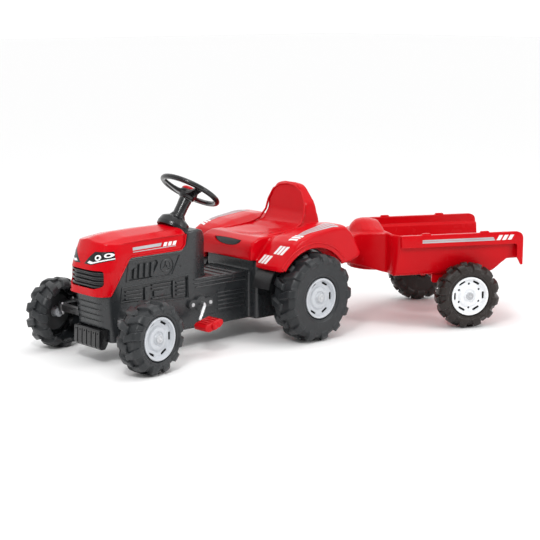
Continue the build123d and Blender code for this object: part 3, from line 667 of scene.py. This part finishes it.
# ---- hood and grille ----
BEAD, BEAD_SIDES = 2.0, 8  # raised lines on the hood and the lower body
HOOD_HALF = 81.5
HOOD_EDGE = [(366, 289, 14), (541, 289, 16), (583, 226, 26), (606, 191, 12)]  # lower edge seen from the side
NOSE = (  # level, front, half width, corner radius: the nose leans back and narrows
    (80, 639, HOOD_HALF, 44), (190, 641, HOOD_HALF, 44), (256, 642, HOOD_HALF, 56), (300, 635, 79.5, 72),
    (335, 621, 75, 68), (380, 596, 66, 60),
)
CROWN = (  # station, then heights at |y| = 84, 76, 56 and 0
    (250, 318, 331, 341, 350), (440, 318, 331, 342, 352), (540, 317, 329, 340, 350.5),
    (590, 315, 325, 334, 346), (625, 311, 319, 327, 338), (660, 306, 312, 318, 327),
)


def nose_ring(level, front, half, corner):
    """Plan of the nose at one height."""
    line = rounded([(240, -half, 1), (front, -half, corner), (front, half, corner), (240, half, 1)], steps=12)
    return [(p.x, p.y, level) for p in line]


def crown_ring(station, edge, shoulder, slope, top):
    """Section of the hood's top across one station."""
    line = rounded([
        (84, 90, 1), (84, edge, 9), (76, shoulder, 10), (56, slope, 26), (0, top, 60), (-56, slope, 26),
        (-76, shoulder, 10), (-84, edge, 9), (-84, 90, 1),
    ], steps=6)
    return [(station, p.x, p.y) for p in line]


def hood_form(inset, drop):
    """Outside of the hood, or its hollow when inset and dropped."""
    i = inset
    low = [(x - drop * (x > 400), z - drop, r) for x, z, r in HOOD_EDGE]
    side = rounded(low + [
        (680, 190 - drop, 1), (680, 400, 1), (341 - drop, 400, 1), (347 - drop, 322), (354 - drop, 300, 12),
    ], steps=6)
    form = loft([nose_ring(z, front - i, half - i, max(8, corner - i)) for z, front, half, corner in NOSE])
    crown = loft([crown_ring(x, *[h - i for h in heights]) for x, *heights in CROWN])
    return common(form, crown, prism(side, -90, 90))


NOSE_STEPS = 32


def nose_line(level, width, out=0.0):
    """Points round the nose at one height, evenly spaced across the given half width."""
    for (z0, *a), (z1, *b) in zip(NOSE, NOSE[1:]):
        if z0 <= level <= z1:
            t = (level - z0) / (z1 - z0)
            front, half, corner = [p + (q - p) * t for p, q in zip(a, b)]
    ring = [p for p in nose_ring(level, front + out, half + out, corner) if p[0] > 300]
    line = []
    for k in range(NOSE_STEPS + 1):
        y = max(ring[0][1], min(ring[-1][1], width * (2 * k / NOSE_STEPS - 1)))
        for p, q in zip(ring, ring[1:]):
            if p[1] <= y <= q[1] and q[1] > p[1]:
                s = (y - p[1]) / (q[1] - p[1])
                line.append((p[0] + (q[0] - p[0]) * s, y, level))
                break
    return line


def hood_lip():
    """Rolled lip along the hood's lower edge, and the crease bead below the top."""
    lip = HOOD_HALF - 0.6
    flank = rounded([(349, 330, 1), (354, 301, 14)] + HOOD_EDGE + [(616, 191, 1)], steps=4)[1:-1]
    lips = []
    for side in (1, -1):
        path = [(p.x, side * (lip if p.x < 597 else lip - (p.x - 597) * 0.12), p.y) for p in flank]
        lips.append(tube(path, BEAD, BEAD_SIDES))
        crease = [(584, 71, 324.5), (560, 74, 327), (500, 75.6, 329.6), (420, 76.4, 331), (352, 76.6, 331)]
        path = [(x, side * (y + 1.0), z) for x, y, z in crease]
        lips.append(tube(path, [0.6, 1.8, BEAD, BEAD, 1.2], BEAD_SIDES))
    lips.append(tube([(p[0] - 1.0, p[1], 191.6) for p in nose_line(191, 80)], BEAD, BEAD_SIDES))
    return lips


GRILLE_LOW, GRILLE_HIGH = 210, 260
LAMP_FROM, NOSE_FAR = 588, 700  # lamp decals are cut from the nose between these stations


def build_hood():
    hood = mould(hood_form(inset=0, drop=0), voxel=2.0, passes=3)
    skin = skin_of(hood)
    bold = skin_of(hood, thick=0.8)
    mouth = rounded([
        (-74, GRILLE_LOW + 8, 12), (-48, GRILLE_LOW, 30), (48, GRILLE_LOW, 30), (74, GRILLE_LOW + 8, 12),
        (72, GRILLE_HIGH, 8), (-72, GRILLE_HIGH, 8),
    ], steps=6)
    cut(hood, hood_form(inset=3.5, drop=25), prism(mouth, 598, NOSE_FAR, "YZ"))
    merge(hood, *hood_lip())
    finish(hood, "hood_shell", TRACTOR, "tractor", RED, "red_shell", "hood")
    lines, bars, lamps, flashes = [], [], [], []
    for side in (1, -1):
        low, high = span(side, 78, 86)
        lines.append(prism([(530, 300), (384, 301.5), (384, 303.5), (530, 302)], low, high))
        lines.append(prism([(530, 305.5), (436, 307), (431, 315.5), (530, 313.5)], low, high))
        bars += [prism(slanted(x, 305, -11, 18, -9), low, high) for x in (428, 412, 396)]
        lens = [(9, 275), (38, 274), (86, 289), (86, 309), (42, 309), (22, 289)]
        lamps.append(prism(mirrored(lens, side), LAMP_FROM, NOSE_FAR, "YZ"))
        brow = [(22, 278.5), (38, 276.5), (82, 290), (82, 293), (42, 282), (30, 285)]
        flashes.append(prism(mirrored(brow, side), LAMP_FROM, NOSE_FAR, "YZ"))
        for y, z, r in ((53, 294, 7.5), (71, 300, 6)):
            disc, hole = [
                prism(mirrored(circle(k * r, 20, y, z), side), LAMP_FROM, NOSE_FAR, "YZ") for k in (1, 0.5)
            ]
            flashes.append(cut(disc, hole))
    sticker(copy_solid(skin), "hood_stripes", DECAL_SILVER, "disc", *lines)
    sticker(copy_solid(skin), "hood_bars", DECAL, "disc", *bars)
    sticker(skin, "lamp_lenses", BLACK, "black_trim", *lamps)
    sticker(bold, "lamp_flashes", DECAL, "disc", *flashes)

    back = common(hood_form(inset=9, drop=0), prism(mouth, 590, NOSE_FAR, "YZ"))
    for row in range(4):
        z = GRILLE_LOW + 6.5 + 12.2 * row
        rings = []
        for lift, grow in ((-4.8, -7), (-3.6, -2.2), (-1.5, 0.4), (1.5, 0.4), (3.6, -2.2), (4.8, -7)):
            line = [(x, y) for x, y, level in nose_line(z, 74, -3 + grow)]
            line = [(592, line[0][1])] + line + [(592, line[-1][1])]
            rings.append([(x, y, z + lift) for x, y in line])
        merge(back, common(loft(rings), prism(mouth, 590, NOSE_FAR, "YZ")))
    finish(back, "grille_upper", TRACTOR, "tractor", BLACK, "black_trim", "upper_grille")


# ---- lower body ----
BODY_HALF, BODY_FLOOR, STEP_TOP = 80, 60, 198
PEDESTAL_HALF, SEAT_BASE = 112, 231
BADGE_AT = (418, 0, 250)  # round badge on each flank


def engine_form():
    """Engine block and dash cowl; its nose is a little inside the hood's."""
    edge = [(x, z - 1, r) for x, z, r in reversed(HOOD_EDGE)]
    side = rounded([(603, BODY_FLOOR, 4), (603, 98, 2), (616, 98, 5), (660, 190, 1)] + edge + [
        (350, 300), (341, 336, 6), (300, 339, 12), (281, 333, 10), (258, 313, 22), (246, 290, 22),
        (242, 262, 30), (247, 180, 20), (250, BODY_FLOOR, 6),
    ])
    half = BODY_HALF
    form = prism(side, -half, half)
    rings = []
    for level, front, corner in ((40, 606, 40), (100, 618, 46), (190, 629, 52), (420, 640, 60)):
        rear = [(326 + 84 * cos(a), half * sin(a), level) for a in [pi / 2 + pi * k / 32 for k in range(33)]]
        nose = [(240, -half, 1), (front, -half, corner), (front, half, corner), (240, half, 1)]
        nose = rounded(nose, steps=10)
        rings.append([(p.x, p.y, level) for p in nose if p.x > 300] + rear)
    return common(form, loft(rings))


def nose_core(z):
    """What a louvre's groove leaves standing behind it."""
    front = 618 + (z - 100) * 11 / 90 - 3.5
    line = rounded([(500, -90, 1), (front, -76, 44), (front, 76, 44), (500, 90, 1)], steps=8)
    return prism(line, z - 10, z + 20, "XY")


def build_lower_body():
    body = engine_form()
    side = [(150, BODY_FLOOR, 8), (330, BODY_FLOOR), (330, STEP_TOP), (60, STEP_TOP), (60, BODY_FLOOR)]
    step = prism(rounded(side), -BODY_HALF, BODY_HALF)
    half = PEDESTAL_HALF
    plan = rounded([(-100, -half, 16), (118, -half, 14), (118, half, 14), (-100, half, 16)])
    merge(body, step, prism(plan, BODY_FLOOR, SEAT_BASE, "XY"))
    # grooves across the step's top
    for x in (150, 182, 214):
        cut(body, prism([(x, 202), (x + 16, 202), (x + 13, 193.5), (x + 3, 193.5)], -70, 70))
    mould(body, voxel=2.9, passes=5)
    windows = []
    for side in (1, -1):
        for depth, *outline in (
            (5, (546, 224, 4), (539, 252, 5), (506, 272, 6), (452, 272, 6), (446, 262, 4), (470, 224, 6)),
            (5, (562, 204, 4), (346, 212, 4), (346, 152, 4), (575, 168, 4)),
            (2.2, (282, 154, 8), (134, 152, 8), (134, 92, 8), (282, 92, 8)),
        ):
            windows.append(prism(rounded(outline, steps=4), *span(side, BODY_HALF - depth, BODY_HALF + 6)))
        near, far = side * (BODY_HALF - 2.2), side * (BODY_HALF + 5)
        badge = lathe([(0.01, near), (24, near), (24, far), (0.01, far)], 40)
        windows.append(moved(badge, Matrix.Translation(BADGE_AT)))
    # four louvres across the lower nose
    for z in (118, 134, 150, 166):
        lip = prism([(560, z), (660, z + 1), (660, z + 8), (560, z + 7)], -58, 58)
        windows.append(cut(lip, nose_core(z)))
    cut(body, *windows)
    relief = []
    for side in (1, -1):
        low, high = span(side, BODY_HALF - 6.5, BODY_HALF + 0.2)
        relief += engine_relief(side, low, high)
        for path in (
            [(545, 281), (555, 224), (400, 224), (373, 276), (420, 277.5), (545, 281)],
            [(574, 170), (570, 208), (344, 216), (343, 150), (460, 156), (520, 170), (574, 170)],
            [(322, 199), (200, 199), (112, 197)], [(322, 187), (200, 187), (112, 186)],
            [(318, 176), (200, 176), (130, 175)],
        ):
            relief.append(tube([(x, side * (BODY_HALF + 0.4), z) for x, z in path], BEAD, BEAD_SIDES))
        for z in (100, 112, 124, 136, 147):
            slat = [(136, z), (236, z), (236, z + 4), (136, z + 4)]
            relief.append(prism(slat, low, high, soft=0.9, segments=2))
    merge(body, *relief)
    finish(body, "body_shell", TRACTOR, "tractor", GREY, "body_grey", "lower_body")


def engine_relief(side, low, high):
    """Slats, pipes and ribs that stand in the windows of one flank."""
    out = []

    def plate(points, radius=1.5, soft=0.9):
        out.append(prism(rounded(points, radius, 3), low, high, soft=soft, segments=2))

    for x in (468, 488, 508, 526):
        top = 266 if x < 510 else 256
        plate([(x - 4.5, 228), (x + 4.5, 228), (x + 1.5, top), (x - 7.5, top)])
    ring = [
        (r, side * (BODY_HALF + h))
        for r, h in ((13, -4), (19.5, -4), (19.5, -0.4), (18, 0.3), (14.5, 0.3), (13, -0.4))
    ]
    out.append(moved(lathe(ring, 40), Matrix.Translation(BADGE_AT)))
    for turn in (90, 210, 330):
        a = radians(turn)
        c, s = cos(a), sin(a)
        corners = [(2, -3.2), (14, -2.2), (14, 2.2), (2, 3.2)]
        x, z = BADGE_AT[0], BADGE_AT[2]
        plate([(x + u * c - v * s, z + u * s + v * c) for u, v in corners], 0.6, 0.6)
    # engine window: three banks of bars with a pipe run between them
    for z in (172, 182, 192):
        plate([(500, z), (557, z + 1.5), (557, z + 5.5), (500, z + 4)])
    for z in (162, 173, 184, 195):
        plate([(353, z), (384, z), (384, z + 5), (353, z + 5)])
    plate([(390, 158), (397, 158), (397, 205), (390, 205)])
    for z in (163, 190, 200):
        plate([(402, z), (468, z), (468, z + 4), (402, z + 4)])
    plate([(424, 170), (462, 170), (462, 185), (424, 185)], 3)
    plate([(474, 160), (493, 160), (493, 200), (474, 200)], 4)
    return out


# ---- front weight ----
def build_front_weight():
    side = rounded([
        (603, 58, 3), (612, 43, 5), (626, 43, 6), (632.5, 51, 6), (630.5, 97.5, 4), (603, 97.5, 1),
    ], steps=4)
    weight = prism(side, -58.5, 58.5, soft=2.5)
    for y in (-42, -21, 0, 21, 42):
        groove = rounded([(y - 2.2, 45), (y + 2.2, 45), (y + 2.2, 92), (y - 2.2, 92)], 2, 4)
        cut(weight, prism(groove, 627, 650, "YZ"))
    for y in (-50, -31, -10.5, 10.5, 31, 50):
        cut(weight, prism(circle(2.4, 16, y, 87.5), 628.5, 650, "YZ"))
    finish(weight, "weight_block", TRACTOR, "tractor", BLACK, "black_trim", "front_weight")


# ---- steering wheel, pad and column ----
RIM_RADIUS = 82.0
SPOKE = (  # radius, height, half width, half depth
    (16, -13, 17, 6), (30, -13, 15, 6), (45, -10, 12, 5), (60, -6, 11, 4.4), (74, -1.5, 12, 4.2),
    (80, 0, 13, 4.2),
)


def build_steering():
    section = [(RIM_RADIUS + 8.6 * cos(tau * k / 20), 7.6 * sin(tau * k / 20)) for k in range(20)]
    rim = lathe(section, 144, "Z")
    hub = rounded([
        (5.4, -28.5), (20.5, -28.5, 1), (23.5, -22, 2), (23.5, -16, 1), (26, -14, 2), (26, -5, 2), (24.5, -4),
        (5.4, -4),
    ], steps=3)
    merge(rim, lathe(hub, 64, "Z"))
    for turn in (60, 180, 300):
        rings = []
        for r, z, wide, deep in SPOKE:
            line = rounded([(-wide, -deep), (wide, -deep), (wide, deep), (-wide, deep)], deep * 0.9, 4)
            rings.append([(r, p.x, z + p.y) for p in line])
        arm = loft(rings)
        merge(rim, moved(arm, Matrix.Rotation(radians(turn), 4, "Z")))
    mould(rim, voxel=1.5, passes=3)
    finish(rim, "wheel_rim", STEERING, "steering", BLACK, "black_trim", "steering_wheel")

    pad = lathe(rounded([(0.01, -4), (24, -4, 1), (24, 1, 3), (20, 5.5, 4), (0.01, 6)], steps=4), 64, "Z")
    finish(pad, "pad_cap", STEERING, "steering", RED_TRIM, "red_trim", "wheel_pad")


def build_column():
    boss = lathe(rounded([
        (5.8, -124), (46, -124, 1), (46.5, -113, 4), (42, -98, 7), (29, -89.5, 5), (23.5, -88.5, 2),
        (23.5, -84, 1.5), (20.5, -83, 1), (20.5, -79, 1.5), (17.5, -77, 1), (17.2, -52), (18.4, -31, 1),
        (5.8, -31),
    ], steps=4), 72, "Z")
    for turn in range(0, 360, 45):
        path = [(22.3, 0, -75), (21.8, 0, -70), (21.4, 0, -40), (21.8, 0, -35)]
        flute = tube(path, [1.5, 4.4, 4.4, 1.5])
        cut(boss, moved(flute, Matrix.Rotation(radians(turn + 22), 4, "Z")))
    moved(boss, TRACTOR.inverted() @ COLUMN)
    cut(boss, block((200, 480), (-100, 100), (200, 333)))
    finish(boss, "column_sleeve", TRACTOR, "tractor", BLACK, "black_trim", "column_cover")


# ---- pedals ----
PEDAL_TILT = 14
BAR_DEPTH = (8.8, 14)  # the grooves on a pedal's two faces, from its middle plane


def build_pedals():
    for name, side in SIDES:
        node = f"pedal_{name}"
        low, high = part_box(node)
        spindle = joint(f"pedal_{name}_turn")["pos_m"]
        place = Matrix.Translation((spindle[0], (low.y + high.y) / 2, spindle[2]))
        place = place @ Matrix.Rotation(radians(PEDAL_TILT * side), 4, "Y") @ MM
        base = rounded([
            (-32, -5, 4), (-20, -11.5, 12), (20, -11.5, 12), (32, -5, 4), (32.5, 6, 4), (24, 11.5, 6),
            (-24, 11.5, 6), (-32.5, 6, 4),
        ])
        pedal = prism(base, -26, 26, soft=3.5)
        for z in (-1, 1):
            for x in range(-22, 23, 11):
                cut(pedal, block((x - 1.8, x + 1.8), (-20, 20), span(z, *BAR_DEPTH)))
        boss = lathe(rounded([(0.01, 10), (11, 10), (11, 29, 2), (7, 32.5, 2), (0.01, 32.5)], steps=3), 32)
        merge(pedal, moved(boss, Matrix.Rotation(0 if side > 0 else pi, 4, "X")))
        cut(pedal, prism(circle(6.1, 24), *span(side, -40, 30.3)))
        finish(pedal, f"pedal_block_{name}", place, f"pedal_{name}", RED_TRIM, "red_trim", node)


# ---- seat, fenders and vent ----
ARCH_RADIUS = 141
LIP_RADII = (144, 156)  # band round each arch
FENDER_OUT = 230
FENDER_SECTIONS = (  # distance from the middle, drop of the top, draw of the ends
    (96, 14, 7), (112, 8, 4), (128, 2, 1), (150, 0, 0), (196, 0, 0), (208, 1, 1), (218, 3.5, 4),
    (FENDER_OUT - 4, 8, 9),
)
RIDGE = (  # raised line from the seat's front corner up to the middle of the back rest
    (96, 100, 286), (60, 99, 297), (10, 98, 300), (-40, 96, 304), (-76, 91, 316), (-96, 84, 342),
    (-103, 79, 374), (-107, 61, 405), (-109, 34, 421), (-109, -2, 426),
)


def seat_form():
    """Seat pan, back rest and both fenders as one soft moulding."""
    half = PEDESTAL_HALF
    pan = [
        (139, 229, 5), (138, 262, 10), (132, 284, 20), (100, 297, 24), (40, 297, 60), (-40, 300, 30),
        (-84, 314, 30), (-102, 344, 30), (-108, 420, 6), (-118, 431, 8), (-132, 424, 10), (-158, 320, 30),
        (-165, 229, 8),
    ]
    seat = prism(rounded(pan, steps=6), -half, half)
    back = rounded([
        (-half, 229, 2), (-half, 296, 8), (-86, 308, 14), (-80, 372, 30), (-50, 424, 34), (0, 434, 60),
        (50, 424, 34), (80, 372, 30), (86, 308, 14), (half, 296, 8), (half, 229, 2),
    ], steps=6)
    common(seat, prism(back, -220, 160, "YZ"))
    fender = rounded([
        (127, 214, 4), (126, 226, 5), (75, 288, 14), (50, 301, 20), (0, 313, 30), (-85, 324, 20),
        (-132, 322, 14), (-160, 302, 14), (-199, 238, 6), (-193, 222, 8), (-148, 211, 4), (-100, 205, 1),
        (100, 205, 1),
    ])
    for side in (1, -1):
        rings = []
        for y, drop, draw in FENDER_SECTIONS:
            ring = []
            for p in fender:
                ends = ease((p.x - 20) / 50) - 0.5 * ease((-130 - p.x) / 30)
                ring.append((p.x - draw * ends, side * y, p.y - drop * (p.y > 230)))
            rings.append(ring)
        merge(seat, loft(rings))
    cut(seat, block((-400, 400), (-half, half), (100, 232)))
    cut(seat, prism(circle(ARCH_RADIUS, 96, y=REAR_RADIUS), -300, 300))
    mould(seat, voxel=2.6, passes=14)
    # shallow saddle pressed into the pan
    for v in seat.data.vertices:
        if v.co.z > 270 and abs(v.co.y) < 92 and v.co.x > -88:
            v.co.z -= 9 * ease(1 - abs(v.co.y) / 92) * ease(1 - abs(v.co.x - 12) / 100)
    return seat


def hollow_seat(seat):
    """Opens the moulding from below, under the pan and inside both fenders."""
    pan = rounded([
        (133, 100), (133, 262, 6), (100, 281, 18), (-60, 283, 20), (-140, 290, 20), (-160, 240, 4),
        (-160, 100),
    ], steps=4)
    cut(seat, common(prism(pan, -108, 108), block((-300, 300), (-108, 108), (100, 296))))
    fender = rounded([
        (112, 100, 1), (111, 222, 5), (66, 279, 14), (44, 293, 20), (0, 307, 30), (-85, 318, 20),
        (-129, 316, 14), (-155, 298, 12), (-192, 236, 6), (-190, 100, 1),
    ], steps=4)
    for side in (1, -1):
        cut(seat, prism(fender, *span(side, 132, FENDER_OUT - 9)))


def seat_relief(seat):
    """Rolled lip round each wheel arch, and the two ridges beside the pan."""
    low, high = radians(38), radians(142)
    arc = [low + (high - low) * k / 30 for k in range(31)]
    lines = [[(r * cos(a), REAR_RADIUS + r * sin(a)) for a in arc] for r in LIP_RADII]
    band = lines[0] + lines[1][::-1]
    for side in (1, -1):
        merge(seat, prism(band, *span(side, FENDER_OUT - 8, FENDER_OUT - 1.5)))
        for line in lines:
            merge(seat, tube([(x, side * (FENDER_OUT - 3), z) for x, z in line], 3.0, 10))
    for side in (1, -1):
        merge(seat, tube([(x, side * y, z - 1.5) for x, y, z in RIDGE], [1.2] + [3.4] * 9, 10))


def seat_decals():
    """Solids that cut the fender's bars and fans of stripes out of the seat's skin."""
    bars, fans = [], []
    for side in (1, -1):
        for y, z in ((124, 229), (166, 257)):
            for k in range(3):
                bars.append(prism(mirrored(slanted(y + 13 * k, z, 9.5, 22, 10), side), 60, 140, "YZ"))
        for k in range(4):
            fan = [(40, 193 + 4 * k), (40, 195 + 4 * k), (-105, 181 + 13 * k), (-105, 173 + 13 * k)]
            fans.append(prism([(x, side * y) for x, y in fan], 296, 340, "XY"))
        for k in range(3):
            bar = slanted(64 - 11 * k, 188, -7, 26, -8)
            bars.append(prism([(x, side * y) for x, y in bar], 282, 320, "XY"))
    return bars, fans


def build_seat():
    seat = seat_form()
    skin = skin_of(seat)
    hollow_seat(seat)
    seat_relief(seat)
    bars, fans = seat_decals()
    sticker(copy_solid(skin), "fender_bars", DECAL, "disc", *bars)
    sticker(skin, "fender_fans", DECAL_SILVER, "disc", *fans)
    cut(seat, crescent())
    finish(seat, "seat_shell", TRACTOR, "tractor", RED, "red_shell", "seat_fender")
    vent = crescent(inset=0.8)
    common(vent, prism([(100, 200), (136.5, 200), (134.5, 262), (124, 290), (100, 292)], -90, 90))
    bevel(vent, 0.8, 2)
    finish(vent, "vent_panel", TRACTOR, "tractor", BLACK, "black_trim", "seat_vent")


def crescent(inset=0.0):
    """Vent shape in the seat's front: nearly flat upper edge, curved lower edge."""
    w = 58 - inset
    top = [(-w + w * k / 6, 285 - inset + 1.5 * sin(pi * k / 12)) for k in range(13)]
    bottom = [(w * cos(a), 284 + (17.5 - inset) * sin(a)) for a in [-pi * k / 20 for k in range(1, 20)]]
    return prism(top + bottom, 90, 160, "YZ")


# ---- trailer tub ----
CART_AXLE_X = -483.0
TAIL, RIM_TOP, RIM_OUT = -668, 280, 195
RIM_BUMPS = (-358, -544)
DOME = (  # station, shoulder height, half width, peak
    (-268, 275, 85, 309), (-262, 276, 84, 311), (-240, 281, 82, 318), (-222, 283, 77, 319.5),
    (-204, 281, 66, 315), (-192, 275, 50, 306), (-183, 268, 32, 294), (-178, 260, 16, 280),
)


def tub_outside():
    """Tub, domed headboard and neck, before the tub is hollowed."""
    side = rounded([
        (-262, 154, 12), (-577, 154, 30), (-625, 195, 20), (TAIL, 195, 2), (TAIL, RIM_TOP, 24),
        (-262, RIM_TOP, 2),
    ])
    section = rounded([(-167, 154, 18), (167, 154, 18), (184, 281, 1), (-184, 281, 1)])
    plan = rounded([(-262, -185, 52), (-262, 185, 52), (-700, 185, 1), (-700, -185, 1)], steps=8)
    tub = common(prism(side, -200, 200), prism(section, -700, -200, "YZ"), prism(plan, 100, 300, "XY"))
    side = rounded([
        (18, 188, 6), (18, 212, 6), (-24, 213, 8), (-60, 224, 30), (-150, 257, 40), (-195, 274, 10),
        (-275, 276, 1), (-275, 156, 1), (-262, 157, 6), (-247, 160, 20), (-208, 171, 30), (-165, 181, 30),
        (-40, 187.5, 20),
    ])
    plan = rounded([
        (19, -19, 18), (19, 19, 18), (-60, 31, 40), (-180, 65, 60), (-275, 122, 1), (-275, -122, 1),
        (-180, -65, 60), (-60, -31, 40),
    ], steps=6)
    neck = common(prism(side, -150, 150), prism(plan, 150, 300, "XY"))
    rings = []
    for x, shoulder, half, peak in DOME:
        line = rounded([
            (-half, 160, 1), (-half, shoulder, 16), (0, peak, 90), (half, shoulder, 16), (half, 160, 1),
        ], steps=10)
        rings.append([(x, p.x, p.y) for p in line])
    return merge(tub, neck, loft(rings))


def tub_inside():
    side = rounded([
        (-267, 160, 16), (-575, 160, 24), (-622, 201, 14), (-700, 201, 1), (-700, 340, 1), (-267, 340, 1),
    ])
    section = rounded([
        (-160, 159, 16), (160, 159, 16), (172, 250, 5), (180.5, 256, 5), (181, 340, 1), (-181, 340, 1),
        (-180.5, 256, 5), (-172, 250, 5),
    ], steps=4)
    plan = rounded([(-267, -182, 47), (-267, 182, 47), (-700, 182, 1), (-700, -182, 1)], steps=8)
    return common(prism(side, -200, 200), prism(section, -720, -240, "YZ"), prism(plan, 100, 400, "XY"))


def tub_rim(side):
    """Flange, hanging band and tail flange of one side wall, one bent strip."""
    outline = rounded([
        (-280, 243, 5), (-280, RIM_TOP, 3), (TAIL, RIM_TOP, 24), (TAIL, 178, 8), (-661, 178, 2),
        (-648, 202, 8), (-648, 243, 8),
    ], steps=6)
    hollow = rounded([(-283, 150, 0), (-283, 276.3, 1), (-664.3, 276.3, 21), (-664.3, 150, 0)], steps=6)
    rim = prism(outline, *span(side, 180.5, RIM_OUT))
    bevel(rim, 1.6, 3)
    cut(rim, prism(hollow, *span(side, 170, 191.3)))
    for x in RIM_BUMPS:
        bump = rounded([(x - 17, 277), (x - 12, 285, 4), (x + 12, 285, 4), (x + 17, 277)], steps=4)
        merge(rim, prism(bump, *span(side, 184, 193.5), soft=1.5))
    return rim


def build_trailer():
    tub = mould(tub_outside(), voxel=2.8, passes=9)
    cut(tub, tub_inside())
    # three ribs pressed in the floor
    for y in (-80, 0, 80):
        rib = rounded([(-300, 158, 1), (-306, 163, 3), (-560, 163, 3), (-568, 158, 1)], steps=3)
        merge(tub, prism(rib, y - 7, y + 7, soft=1.5))
    for side in (1, -1):
        merge(tub, tub_rim(side))
        bracket = rounded([
            (-392, 158, 1), (-392, 128, 8), (-440, 126, 20), (-468, 89, 12), (-498, 89, 12), (-560, 158, 1),
        ], steps=4)
        merge(tub, prism(bracket, *span(side, 147, 155), soft=1.5))
    bore = circle(5.3, 24)
    cut(tub, moved(prism(bore, -170, 170), Matrix.Translation((CART_AXLE_X, 0, CART["radius"]))))
    cut(tub, prism(bore, 150, 250, "XY"))
    finish(tub, "tub_shell", TRAILER, "trailer", RED_TUB, "red_tub", "trailer_tub")
    for name, side in SIDES:
        low, high = span(side, RIM_OUT - 0.4, RIM_OUT + 0.5)
        stripe = prism([(-345, 256), (-345, 266), (-570, 266), (-576, 256)], low, high)
        cut(stripe, prism([(-340, 260.6), (-340, 261.6), (-600, 261.6), (-600, 260.6)], -200, 200))
        finish(stripe, f"tub_stripe_{name}", TRAILER, "trailer", DECAL_SILVER, "disc")
        bars = [prism(slanted(x, 256.5, -12, 15, -9), low, high) for x in (-580, -598, -616)]
        finish(merge(*bars), f"tub_bars_{name}", TRAILER, "trailer", DECAL, "disc")


build_wheels()
build_hood()
build_lower_body()
build_front_weight()
build_steering()
build_column()
build_pedals()
build_seat()
build_trailer()

add_camera()
add_studio()
